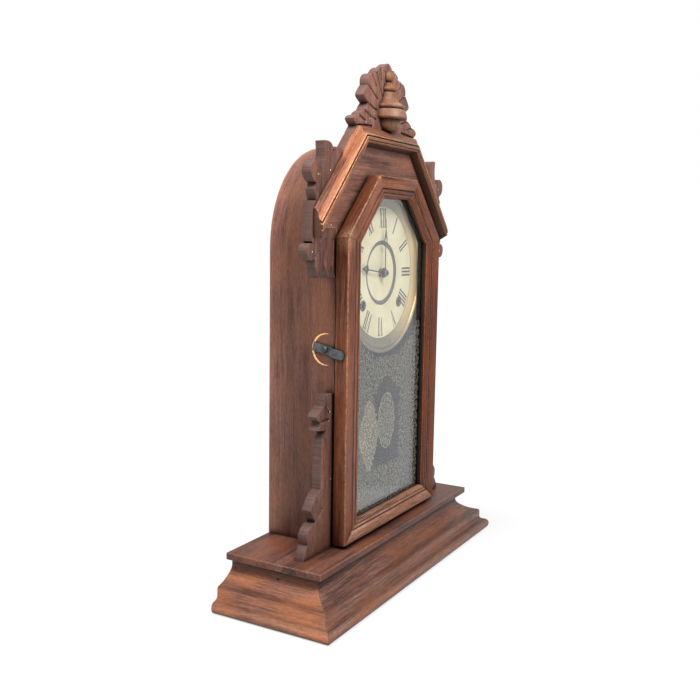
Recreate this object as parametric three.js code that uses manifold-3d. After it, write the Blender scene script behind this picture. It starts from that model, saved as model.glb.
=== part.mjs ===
// An octagon-top parlour shelf clock in walnut, with an arched bentwood case, sawn scroll work,
// a glazed door, a paper dial and an eight-day pendulum movement.
// Millimetres, +Z up, +X to the right, the dial faces -Y. The origin is the middle of the footprint.
import * as THREE from "three";
import { mergeVertices } from "three/addons/utils/BufferGeometryUtils.js";
import Module from "manifold-3d";

const wasm = await Module();
wasm.setup();

// ---------------------------------------------------------------- driving dimensions
const gap = 0.3; // clearance between neighbouring pieces
const backY = 60.4; // the flat back of the whole clock
const frontY = -60.4; // outermost line of the base moulding

const base = { halfWidth: 178, neckInset: 30, innerInset: 46, neckTop: 42.6, railDepth: 12, railFoot: 2 };
const topBoard = { halfWidth: 156.1, front: -38.2, low: 42.9, high: 49.2, chamfer: 1.2 };
const hoop = {
  halfWidth: 91.25,
  wall: 8,
  springLine: 319,
  rise: 97,
  front: -10.1,
  rebateFront: -0.5,
  rebateLow: 295.7,
};
const backBoard = { front: 53, back: 59.4 };
const sawn = { front: -10.1, back: -0.8 }; // the plane of the sawn ornament
const roof = { rise: 46.5, outer: 336.5, topOuter: 429, width: 17.3, endX: 128.8 };
const door = {
  front: -25.5,
  back: -13,
  outer: { halfWidth: 95.1, low: 52.2, shoulder: 329.6, high: 385.9, topHalf: 39 },
  inner: { halfWidth: 69, low: 71, shoulder: 324.4, high: 366.5, topHalf: 28 },
};
const glass = { front: -17.9, back: -16.1, edge: 0.83 };
const hinge = {
  x: 97.3,
  y: -13,
  knuckle: 1.9,
  bore: 1,
  pin: 0.7,
  leafInner: 83.6,
  length: 30,
  lowZ: 92,
  highZ: 262,
};
const latch = { y: -0.6, z: 229.7, tilt: 11, tail: 12.6, reach: 23, width: 8, thick: 1.2, crank: 4 };
const dial = {
  z: 295.85,
  front: -7.6,
  back: -7,
  plateR: 70.4,
  paperR: 63.4,
  rimR: 78,
  archR: 74.6,
  step: 1.2,
  stepR: 31.1,
};
const winding = { x: 36.8, z: 265.9, arborR: 2.6 };
const plates = { front: 12, frontBack: 13.5, back: 38, backBack: 39.5 };
const pendulum = { pivotZ: 368, y: 5, bobZ: 132, bobHalf: 20, bobRise: 36, loopR: 8.4 };
const handPlane = { hour: -10.2, minute: -11.9, thick: 0.6 };

// Gear train: teeth and module of each mesh.
const train = {
  great: { teeth: 80, pinion: 16, module: 0.985, y: [30.3, 31.8] },
  centre: { teeth: 72, pinion: 8, module: 0.8, y: [28.2, 29.2] },
  third: { teeth: 80, pinion: 8, module: 0.5, y: [24, 25] },
  minute: { teeth: 36, pinion: 12, module: 0.6, y: [9.9, 11.2] },
  hour: { teeth: 40, pinion: 10, module: 0.576, y: [7.7, 9] },
  escape: { teeth: 42, radius: 13, y: [15.4, 16.4] },
};

// ---------------------------------------------------------------- colours
const finish = {
  caseWood: { color: 0x5d4136, roughness: 0.6, metalness: 0 },
  doorWood: { color: 0x8a4f35, roughness: 0.5, metalness: 0 },
  darkWood: { color: 0x55392f, roughness: 0.65, metalness: 0 },
  paleWood: { color: 0x9c6a4a, roughness: 0.55, metalness: 0 },
  brass: { color: 0xb59a5b, roughness: 0.35, metalness: 1 },
  agedBrass: { color: 0xa39b86, roughness: 0.4, metalness: 1 },
  steel: { color: 0x596069, roughness: 0.4, metalness: 1 },
  iron: { color: 0x3c4349, roughness: 0.6, metalness: 0.9 },
  paper: { color: 0xe6dfc4, roughness: 0.9, metalness: 0 },
  glass: { color: 0x9aa6ad, roughness: 0.1, metalness: 0, transparent: true, opacity: 0.4 },
};

const clock = new THREE.Group();

// ---------------------------------------------------------------- helpers
const radians = (degrees) => (degrees * Math.PI) / 180;

// Position-only copy of a geometry with its shared vertices merged.
function merged(geometry) {
  const bare = geometry.index ? geometry.toNonIndexed() : geometry.clone();
  for (const name of Object.keys(bare.attributes)) {
    if (name !== "position") bare.deleteAttribute(name);
  }
  return mergeVertices(bare, 1e-4);
}

// Geometry to solid, turned outside out if its faces point in.
function solid(geometry) {
  const mesh = merged(geometry);
  const vertProperties = new Float32Array(mesh.attributes.position.array);
  const triVerts = new Uint32Array(mesh.index.array);
  const made = new wasm.Manifold(new wasm.Mesh({ numProp: 3, vertProperties, triVerts }));
  if (made.volume() > 0) return made;
  for (let i = 0; i < triVerts.length; i += 3) {
    [triVerts[i + 1], triVerts[i + 2]] = [triVerts[i + 2], triVerts[i + 1]];
  }
  return new wasm.Manifold(new wasm.Mesh({ numProp: 3, vertProperties, triVerts }));
}

function geometryOf(made) {
  const mesh = made.getMesh();
  const points = new Float32Array(mesh.numVert * 3);
  for (let i = 0; i < mesh.numVert; i += 1) {
    points.set(mesh.vertProperties.subarray(i * mesh.numProp, i * mesh.numProp + 3), i * 3);
  }
  return new THREE.BufferGeometry()
    .setAttribute("position", new THREE.BufferAttribute(points, 3))
    .setIndex(new THREE.BufferAttribute(mesh.triVerts, 1));
}

const join = (...pieces) => geometryOf(pieces.map(solid).reduce((a, b) => a.add(b)));
const cut = (piece, ...tools) => geometryOf(tools.map(solid).reduce((a, b) => a.subtract(b), solid(piece)));
const common = (piece, other) => geometryOf(solid(piece).intersect(solid(other)));

function add(name, geometry, look) {
  const mesh = new THREE.Mesh(geometryOf(solid(geometry)), new THREE.MeshStandardMaterial(finish[look]));
  mesh.name = name;
  clock.add(mesh);
}

// Closed path from corners [x, z] and curved stretches [control x, control z, x, z].
function path(points, Kind = THREE.Shape) {
  const drawn = new Kind();
  points.forEach((p, i) => {
    if (i === 0) drawn.moveTo(p[0], p[1]);
    else if (p.length === 4) drawn.quadraticCurveTo(p[0], p[1], p[2], p[3]);
    else drawn.lineTo(p[0], p[1]);
  });
  drawn.closePath();
  return drawn;
}

const mirrored = (points) => points.map((p) => p.map((v, i) => (i % 2 ? v : -v)));

// Flat piece whose outline lies in the XZ plane, from one Y to another.
function board(outline, front, back, { holes = [], curveSegments = 5 } = {}) {
  const shape = Array.isArray(outline) ? path(outline) : outline;
  shape.holes.push(...holes);
  return new THREE.ExtrudeGeometry(shape, { depth: back - front, bevelEnabled: false, curveSegments })
    .rotateX(Math.PI / 2)
    .translate(0, back, 0);
}

const block = (x0, x1, y0, y1, z0, z1) =>
  new THREE.BoxGeometry(x1 - x0, y1 - y0, z1 - z0).translate((x0 + x1) / 2, (y0 + y1) / 2, (z0 + z1) / 2);

function circle(x, z, radius, Kind = THREE.Path) {
  const drawn = new Kind();
  drawn.absarc(x, z, radius, 0, 2 * Math.PI, false);
  return drawn;
}

// Round bar along Y.
const barY = (x, z, radius, front, back, sides = 12) =>
  new THREE.CylinderGeometry(radius, radius, back - front, sides).translate(x, (front + back) / 2, z);

// Turned piece with its axis along Y, from a closed profile of [radius, y].
const turnedY = (profile, sides, x = 0, z = 0) =>
  new THREE.LatheGeometry(
    profile.map(([r, y]) => new THREE.Vector2(r, y)),
    sides,
  ).translate(x, 0, z);

// Moulded bar between two cut ends. Each end is a pair of points, outer edge and inner edge,
// and the profile is [share of the way in, depth along the given direction].
function mouldedBar(outline, [outerA, innerA], [outerB, innerB], depth) {
  const flat = outline.map(([u, d]) => new THREE.Vector2(u, d));
  if (THREE.ShapeUtils.isClockWise(flat)) flat.reverse();
  const ring = (outer, inner) =>
    flat.map(({ x: u, y: d }) => outer.clone().lerp(inner, u).addScaledVector(depth, d));
  const along = outerB.clone().sub(outerA).normalize().multiplyScalar(gap / 2);
  const a = ring(outerA, innerA).map((p) => p.add(along));
  const b = ring(outerB, innerB).map((p) => p.sub(along));
  const n = flat.length;
  const index = [];
  for (let i = 0; i < n; i += 1) {
    const j = (i + 1) % n;
    index.push(i, j, n + j, i, n + j, n + i);
  }
  for (const [p, q, r] of THREE.ShapeUtils.triangulateShape(flat, [])) {
    index.push(p, r, q, n + p, n + q, n + r);
  }
  const points = [...a, ...b].flatMap((p) => p.toArray());
  return new THREE.BufferGeometry()
    .setAttribute("position", new THREE.Float32BufferAttribute(points, 3))
    .setIndex(index);
}

// ---------------------------------------------------------------- base
// Profile from the outermost line inwards: bottom bead, small ogee, fillet, big cove and neck.
const baseProfile = [
  [3.5, 0],
  [1.2, 1.6],
  [0, 5.2],
  [0.6, 8.2],
  [2.4, 10],
  [5.4, 10.9],
  [7.6, 12],
  [8.5, 13.8],
  [8.6, 21],
  [9.5, 22.3],
  [16, 24],
  [22.5, 27.4],
  [27.5, 31.6],
  [30, 35.6],
  [30, base.neckTop],
  [base.innerInset, base.neckTop],
  [base.innerInset, 0],
].map(([inset, z]) => [inset / base.innerInset, z]);

function addBase() {
  const up = new THREE.Vector3(0, 0, 1);
  const corner = (side, inset) => new THREE.Vector3(side * (base.halfWidth - inset), frontY + inset, 0);
  const rear = (side, inset) => new THREE.Vector3(side * (base.halfWidth - inset), backY + gap / 2, 0);
  const pair = (place, side) => [place(side, 0), place(side, base.innerInset)];
  add("base_front_moulding", mouldedBar(baseProfile, pair(corner, -1), pair(corner, 1), up), "doorWood");
  add("base_left_moulding", mouldedBar(baseProfile, pair(rear, -1), pair(corner, -1), up), "doorWood");
  add("base_right_moulding", mouldedBar(baseProfile, pair(corner, 1), pair(rear, 1), up), "doorWood");
  const railHalf = base.halfWidth - base.innerInset - gap;
  const railTop = base.neckTop;
  add(
    "base_back_rail",
    block(-railHalf, railHalf, backY - base.railDepth, backY, base.railFoot, railTop),
    "darkWood",
  );
  const { halfWidth: w, front, low, high, chamfer: c } = topBoard;
  // The front edge and the ends are eased, the back is cut square.
  const plan = path([
    [-w, backY + 5],
    [-w, front],
    [w, front],
    [w, backY + 5],
  ]);
  const eased = new THREE.ExtrudeGeometry(plan, {
    depth: high - low - 2 * c,
    bevelThickness: c,
    bevelSize: c,
    bevelOffset: -c,
    bevelSegments: 2,
    curveSegments: 1,
  }).translate(0, c, low + c);
  const keep = block(-w - 1, w + 1, front - 1, backY, low - 1, high + 1);
  add("base_top_board", common(eased, keep), "doorWood");
}

// ---------------------------------------------------------------- case
// Outline of the hoop, shrunk by an inset, as one closed path over its foot line.
function archPath(inset, foot, Kind = THREE.Shape) {
  const w = hoop.halfWidth - inset;
  const drawn = new Kind();
  drawn.moveTo(w, foot);
  drawn.lineTo(w, hoop.springLine);
  drawn.absellipse(0, hoop.springLine, w, hoop.rise - inset, 0, Math.PI, false, 0);
  drawn.lineTo(-w, foot);
  drawn.closePath();
  return drawn;
}

function addCase() {
  const foot = topBoard.high + gap;
  const w = hoop.halfWidth;
  const inner = w - hoop.wall;
  const smooth = { curveSegments: 28 };
  const shell = cut(
    board(archPath(0, foot), hoop.rebateFront, backY, smooth),
    board(archPath(hoop.wall, foot - 10), hoop.rebateFront - 1, backY + 1, smooth),
  );
  const cheeks = [-1, 1].map((side) =>
    block(
      ...[side * w, side * inner].sort((a, b) => a - b),
      hoop.front,
      hoop.rebateFront + 1,
      foot,
      hoop.rebateLow,
    ),
  );
  add("case_hoop", join(shell, ...cheeks), "caseWood");
  const filling = board(archPath(hoop.wall + gap, foot), backBoard.front, backBoard.back, smooth);
  add("back_board", filling, "darkWood");
}

// ---------------------------------------------------------------- sawn ornament
// Left-hand outlines, from the photograph's left side. The right-hand pieces mirror them.
const earOutline = [
  [-76.4, 397.7],
  [-81.8, 403.1],
  [-85, 406.4, -89.9, 406.6],
  [-98.3, 406.3],
  [-101, 410.2, -106.8, 410.4],
  [-112.2, 410.3],
  [-111.3, 401],
  [-111.4, 392, -115.2, 386.6],
  [-118, 392.6, -124.6, 392.6],
  [-132.6, 391.4, -132.9, 383.8],
  [-132.2, 377, -124, 374.4],
  [-124.9, 371.6],
  [-127.6, 369.2],
  [-125.6, 364.6, -124.2, 359.6],
  [-129.6, 359.4],
  [-130.9, 340, -130.7, 325.6],
  [-127.6, 322.8],
  [-129.4, 324.4, -132.4, 323.8],
  [-138.2, 322.4, -138.4, 317.4],
  [-137.6, 310.6, -131.4, 309.5],
  [-127.4, 309.6, -125.8, 312.4],
  [-125.4, 303, -119.7, 294.2],
  [-116, 301, -110.7, 305],
  [-106.4, 300.6, -103.6, 293.8],
  [-101, 301, -98.8, 304.4],
  [-95.6, 301, -91.6, 293.8],
  [-91.6, 336.7],
  [-112, 336.7],
  [-119.4, 352.6],
];

const bracketOutline = [
  [-91.6, 49.5],
  [-91.6, 190.9],
  [-105.3, 190.9],
  [-105.4, 186, -107, 182],
  [-109.4, 181.4],
  [-118.4, 176.6],
  [-120.6, 173.8],
  [-118.6, 170.4, -113.4, 168.4],
  [-113.6, 166.8],
  [-118.2, 161.4],
  [-104.8, 159.2],
  [-107, 154.6, -111.8, 151.2],
  [-111.8, 107.6],
  [-119, 104.6, -123.6, 98.4],
  [-126.8, 94.6, -127.8, 91.2],
  [-124, 86.6, -120, 79.8],
  [-127.6, 79.6, -132.2, 74],
  [-135.8, 70, -132.3, 62],
  [-137, 57.4, -139, 49.5],
];

// Right half of the crest from its apex down to the joint behind the roof moulding.
const crestHalf = [
  [4.6, 491.6, 8.6, 487.2],
  [15.6, 487.2, 20.4, 482.6],
  [23.4, 479.4],
  [31.6, 479.2, 35.4, 475.8],
  [38.8, 472, 37.2, 467.4],
  [42, 464, 45.4, 458.8],
  [46.4, 457, 44, 455.4],
  [37, 451.4],
  [41.4, 447.8, 43.4, 444.2],
  [49.6, 442.6, 53.6, 438.6],
  [60.4, 438.4, 63.6, 434.6],
  [62.8, 432.8, 61, 431.4],
  [57.2, 429],
  [64, 421.6],
];

function addSawnWork() {
  const cutOut = (name, outline, look) => add(name, board(outline, sawn.front, sawn.back), look);
  cutOut("ear_left", earOutline, "darkWood");
  cutOut("ear_right", mirrored(earOutline), "darkWood");
  cutOut("bracket_left", bracketOutline, "darkWood");
  cutOut("bracket_right", mirrored(bracketOutline), "darkWood");

  // The left half runs back up, so each curved stretch ends where its mirror image begins.
  const apex = [0, 492];
  const down = [apex, ...crestHalf];
  const up = crestHalf.map((p, i) => {
    const end = down[i].slice(-2);
    return p.length === 4 ? [-p[0], p[1], -end[0], end[1]] : [-end[0], end[1]];
  });
  const foot = crestHalf[crestHalf.length - 1];
  cutOut("crest_board", [...down, [-foot[0], foot[1]], ...up.reverse()], "darkWood");

  // The head board meets the ears and the crest under the roof moulding.
  const gable = [
    [-91.3, hoop.rebateLow + gap],
    [-91.3, 337],
    [-111.7, 337],
    [-119.1, 352.4],
    [-76, 397.9],
    [-81.5, 403.4],
    [-64.3, 421.3],
  ];
  const outline = [...gable, ...mirrored(gable).reverse()];
  const arch = board(
    archShape(dial.archR),
    sawn.front - 1,
    sawn.back + 1,
    { curveSegments: 32 },
  );
  add("head_board", cut(board(outline, sawn.front, sawn.back), arch), "darkWood");
}

// The dial's arch in the head board: a half circle over straight jambs.
function archShape(radius) {
  const drawn = new THREE.Shape();
  const foot = hoop.rebateLow - 5;
  drawn.moveTo(radius, foot);
  drawn.lineTo(radius, dial.z);
  drawn.absarc(0, dial.z, radius, 0, Math.PI, false);
  drawn.lineTo(-radius, foot);
  drawn.closePath();
  return drawn;
}

// ---------------------------------------------------------------- roof moulding and half turning
// Ogee from the outer edge, two fillets at the front, and a splayed inner face.
const roofProfile = [
  [0, 0],
  [0.4, 2.2],
  [1.8, 4],
  [3.6, 4.8],
  [5.4, 5.6],
  [6.8, 7],
  [7.2, 8],
  [8.2, 8.3],
  [8.6, 7.5],
  [9.2, 7.6],
  [9.6, 9.2],
  [13, 9.5],
  [roof.width, 0],
].map(([w, d]) => [w / roof.width, d]);

function addRoof() {
  const angle = radians(roof.rise);
  const [sin, cos] = [Math.sin(angle), Math.cos(angle)];
  const y = sawn.front - gap;
  const depth = new THREE.Vector3(0, -1, 0);
  // Height of the right-hand slope's line at a distance in from its outer edge.
  const slopeX = (z, inset) => (roof.outer - inset - cos * z) / sin;
  const slopeZ = (x, inset) => (roof.outer - inset - sin * x) / cos;
  const mitre = (side, inset) => {
    const z = roof.topOuter - inset;
    return new THREE.Vector3(side * slopeX(z, inset), y, z);
  };
  const end = (side, inset) => new THREE.Vector3(side * roof.endX, y, slopeZ(roof.endX, inset));
  const pair = (place, side) => [place(side, 0), place(side, roof.width)];
  add("roof_moulding_left", mouldedBar(roofProfile, pair(end, -1), pair(mitre, -1), depth), "doorWood");
  add("roof_moulding_top", mouldedBar(roofProfile, pair(mitre, -1), pair(mitre, 1), depth), "doorWood");
  add("roof_moulding_right", mouldedBar(roofProfile, pair(mitre, 1), pair(end, 1), depth), "doorWood");

  // Half turning: [radius, height] from the foot bulb to the ball.
  const profile = [
    [0, 429.4],
    [6.5, 429.4],
    [10.6, 432],
    [12.8, 436.4],
    [14, 440.3],
    [19, 441.4],
    [19, 445],
    [17.4, 448.6],
    [15.2, 449.3],
    [16.4, 450.2],
    [16.4, 453],
    [13.2, 454.4],
    [10.4, 457.6],
    [8.6, 462],
    [7.2, 466],
    [8.6, 467.3],
    [8.6, 469.6],
    [5, 472.2],
    [3.6, 475],
    [4.9, 477.4],
    [5.2, 480.2],
    [3.8, 483.4],
    [0, 484.8],
  ];
  const turned = new THREE.LatheGeometry(
    profile.map(([r, z]) => new THREE.Vector2(r, z)),
    28,
  )
    .rotateX(Math.PI / 2)
    .translate(0, sawn.front, 0);
  const half = block(-30, 30, sawn.front - 30, sawn.front - gap, 420, 490);
  add("crest_turning", common(turned, half), "paleWood");
}

// ---------------------------------------------------------------- door
// Corners of the door at a share of the way from its outer to its inner edge.
function doorCorners(share) {
  const o = door.outer;
  const i = door.inner;
  const mix = (key) => THREE.MathUtils.lerp(o[key], i[key], share);
  const [w, low, shoulder, high, top] = ["halfWidth", "low", "shoulder", "high", "topHalf"].map(mix);
  return [
    [-w, low],
    [w, low],
    [w, shoulder],
    [top, high],
    [-top, high],
    [-w, shoulder],
  ];
}

// Depths back from the front: rounded arris, broad band, quirk, flat bead, lip and glass rebate.
const doorProfile = [
  [0, 12.5],
  [0, 1.5],
  [0.04, 0.35],
  [0.1, 0],
  [0.48, 0.4],
  [0.55, 1],
  [0.585, 2.2],
  [0.625, 1.3],
  [0.7, 0.9],
  [0.84, 1],
  [0.95, 1.3],
  [1, 1.9],
  [1, 7.3],
  [0.79, 7.3],
  [0.79, 12.5],
];

function addDoor() {
  const outer = doorCorners(0).map(([x, z]) => new THREE.Vector3(x, door.front, z));
  const inner = doorCorners(1).map(([x, z]) => new THREE.Vector3(x, door.front, z));
  const names = ["bottom_rail", "right_stile", "right_slope", "top_rail", "left_slope", "left_stile"];
  const depth = new THREE.Vector3(0, 1, 0);
  names.forEach((name, i) => {
    const j = (i + 1) % names.length;
    const bar = mouldedBar(doorProfile, [outer[i], inner[i]], [outer[j], inner[j]], depth);
    add("door_" + name, bar, "doorWood");
  });
  add("door_glass", board(doorCorners(glass.edge), glass.front, glass.back), "glass");
  const seat = path(doorCorners(0.98), THREE.Path);
  add(
    "glass_retainer",
    board(doorCorners(glass.edge), glass.back + gap, door.back - gap, { holes: [seat] }),
    "darkWood",
  );
}

function addHinges() {
  const { x, y, knuckle, bore, length } = hinge;
  const third = length / 3;
  const leafEnd = x - 2.3;
  const thick = 0.8;
  for (const [name, low] of [
    ["lower", hinge.lowZ],
    ["upper", hinge.highZ],
  ]) {
    const tube = (z0, z1, r) =>
      new THREE.CylinderGeometry(r, r, z1 - z0, 16).rotateX(Math.PI / 2).translate(x, y, (z0 + z1) / 2);
    const segment = (n) => [low + n * third + gap / 2, low + (n + 1) * third - gap / 2];
    const borehole = tube(low - 1, low + length + 1, bore);
    const doorSheet = door.back + gap;
    const doorLeaf = join(
      block(hinge.leafInner, leafEnd, doorSheet, doorSheet + thick, low, low + length),
      ...[0, 2].flatMap((n) => {
        const [z0, z1] = segment(n);
        return [tube(z0, z1, knuckle), block(leafEnd - 0.5, x, doorSheet, doorSheet + thick, z0, z1)];
      }),
    );
    const caseSheet = hoop.front - gap - thick;
    const [z0, z1] = segment(1);
    const caseLeaf = join(
      block(hinge.leafInner, leafEnd, caseSheet, caseSheet + thick, low, low + length),
      tube(z0, z1, knuckle),
      block(leafEnd - 0.5, x + 1, y + 1.2, caseSheet + thick, z0, z1),
    );
    add("hinge_" + name + "_door_leaf", cut(doorLeaf, borehole), "agedBrass");
    add("hinge_" + name + "_case_leaf", cut(caseLeaf, borehole), "agedBrass");
    const head = tube(low + length + gap / 2, low + length + 1.4, 1.5);
    add("hinge_" + name + "_pin", join(tube(low - 0.8, low + length + 1, hinge.pin), head), "agedBrass");
  }
}

// ---------------------------------------------------------------- turn latch
// Strip on the left side that pivots on a screw, steps out past the door's side and lies over it.
function addLatch() {
  const { tail, reach, width, thick, crank } = latch;
  const inner = gap + 0.1;
  const step = [5.5, 10.5];
  // Section in the (distance from the pivot, distance out from the case) plane.
  const section = path([
    [-tail, inner],
    [step[0], inner],
    [step[1], inner + crank],
    [reach, inner + crank],
    [reach, inner + crank + thick],
    [step[1] - 0.5, inner + crank + thick],
    [step[0] - 0.5, inner + thick],
    [-tail, inner + thick],
  ]);
  const strip = new THREE.ExtrudeGeometry(section, { depth: width, bevelEnabled: false });
  strip.translate(0, 0, -width / 2);
  const rounded = new THREE.Shape();
  const r = width / 2;
  rounded.moveTo(-tail, -r);
  rounded.lineTo(reach - r, -r);
  rounded.absarc(reach - r, 0, r, -Math.PI / 2, Math.PI / 2, false);
  rounded.lineTo(-tail, r);
  rounded.closePath();
  const outline = new THREE.ExtrudeGeometry(rounded, { depth: 12, bevelEnabled: false, curveSegments: 8 })
    .rotateX(Math.PI / 2)
    .translate(0, 12, 0);
  const bore = new THREE.CylinderGeometry(1.9, 1.9, 12, 16).translate(0, 4, 0);
  // Strip axes to clock axes: along the strip is -Y, out of the case is -X.
  const turn = new THREE.Matrix4().makeBasis(
    new THREE.Vector3(0, -1, 0),
    new THREE.Vector3(-1, 0, 0),
    new THREE.Vector3(0, 0, -1),
  );
  const place = (geometry) =>
    geometry
      .applyMatrix4(turn)
      .rotateX(radians(latch.tilt))
      .translate(-hoop.halfWidth, latch.y, latch.z);
  add("latch_strip", place(cut(common(strip, outline), bore)), "iron");
  const screw = [
    [0, 0.1],
    [1.55, 0.1],
    [1.55, inner + thick + gap],
    [3.1, inner + thick + gap],
    [2.6, inner + thick + 1.1],
    [1.4, inner + thick + 1.7],
    [0, inner + thick + 1.8],
  ];
  add("latch_screw", place(turnedY(screw, 16)), "iron");
}

// ---------------------------------------------------------------- dial and hands
const ring = (x, z, inner, outer, front, back, sides) =>
  board(circle(x, z, outer, THREE.Shape), front, back, {
    holes: [circle(x, z, inner)],
    curveSegments: sides,
  });

function addDial() {
  const windingX = [-winding.x, winding.x];
  const { front, back, step, stepR } = dial;
  const hole = (x, z, radius) => barY(x, z, radius, front - 1, back + step + 1, 20);
  const openings = [hole(0, dial.z, 4.2), ...windingX.map((x) => hole(x, winding.z, 4.4))];
  // The middle of the face is set back by a small step.
  const face = [
    [0, front + step],
    [stepR, front + step],
    [stepR, front],
    [dial.plateR, front],
    [dial.plateR, back],
    [stepR + 0.6, back],
    [stepR + 0.6, back + step],
    [0, back + step],
  ];
  add("dial_plate", cut(turnedY(face, 56, 0, dial.z), ...openings), "paper");
  // Dished brass ring: foot on the paper's edge, long slope, groove and rolled rim.
  const bezel = [
    [dial.paperR, -7.9],
    [dial.paperR, -8.3],
    [72.4, -11.5],
    [73.2, -11.3],
    [74.4, -12.1],
    [76.6, -12.6],
    [77.7, -12.1],
    [dial.rimR, -11.2],
    [77.6, -10.4],
    [74.2, -10.4],
    [64.8, -7.9],
    [dial.paperR, -7.9],
  ];
  add("dial_bezel", turnedY(bezel, 56, 0, dial.z), "brass");
  windingX.forEach((x, i) => {
    const name = ["winding_grommet_left", "winding_grommet_right"][i];
    add(name, ring(x, winding.z, 3.7, 5.1, dial.front - gap - 0.6, dial.front - gap, 8), "brass");
  });
}

// Flat hand along +Z from its hub: a slim shaft, then an open triangle that may run out in a needle.
function addHand(name, { hubR, bore, y, foot, half, apex, length, turn }) {
  const shaft = 0.55;
  const side = [
    [hubR * 0.8, 0],
    [shaft, hubR + 2],
    [shaft, foot - 2.4],
    [half, foot],
    [0.4, apex],
    [0.2, length],
  ];
  const outline = [...side, ...side.map(([x, z]) => [-x, z]).reverse()];
  const rim = 1.1;
  const taper = (half - 0.4) / (apex - foot);
  const peak = apex - (rim + 0.2) / taper;
  const window = path(
    [
      [-(half - rim - taper * rim), foot + rim],
      [half - rim - taper * rim, foot + rim],
      [0, peak],
    ],
    THREE.Path,
  );
  const blade = board(outline, 0, handPlane.thick, { holes: [window] });
  const hub = board(circle(0, 0, hubR, THREE.Shape), 0, handPlane.thick, { curveSegments: 12 });
  const hole = barY(0, 0, bore, -1, 2, 20);
  add(name, cut(join(blade, hub), hole).rotateY(radians(turn)).translate(0, y, dial.z), "steel");
}

function addHands() {
  const { minute, hour } = handPlane;
  const long = { hubR: 3.8, bore: 1.5, foot: 27.5, half: 3.8, apex: 42, length: 52 };
  const short = { hubR: 4.8, bore: 3.4, foot: 33.2, half: 4.4, apex: 42, length: 42.6 };
  addHand("minute_hand", { ...long, y: minute, turn: 0 });
  addHand("hour_hand", { ...short, y: hour, turn: -83.2 });
  add(
    "hand_nut",
    board(circle(0, dial.z, 3, THREE.Shape), -14.4, handPlane.minute - gap, {
      holes: [circle(0, dial.z, 1.5)],
      curveSegments: 6,
    }),
    "brass",
  );
}

// ---------------------------------------------------------------- movement
// Spur gear outline with slim straight-sided teeth; one tooth points along the given angle.
function gearShape(teeth, module, pointing) {
  const pitch = (teeth * module) / 2;
  const root = pitch - 1.3 * module;
  const tip = pitch + 0.75 * module;
  const step = (2 * Math.PI) / teeth;
  const corners = [];
  for (let i = 0; i < teeth; i += 1) {
    const middle = pointing + i * step;
    for (const [r, share] of [
      [root, -0.25],
      [tip, -0.09],
      [tip, 0.09],
      [root, 0.25],
    ]) {
      const a = middle + share * step;
      corners.push([r * Math.cos(a), r * Math.sin(a)]);
    }
  }
  return path(corners);
}

const gear = (x, z, teeth, module, pointing, [front, back]) =>
  board(gearShape(teeth, module, pointing), front, back).translate(x, 0, z);

const centreDistance = ({ teeth, pinion, module }) => ((teeth + pinion) * module) / 2;
const halfTooth = (teeth) => Math.PI / teeth;

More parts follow.
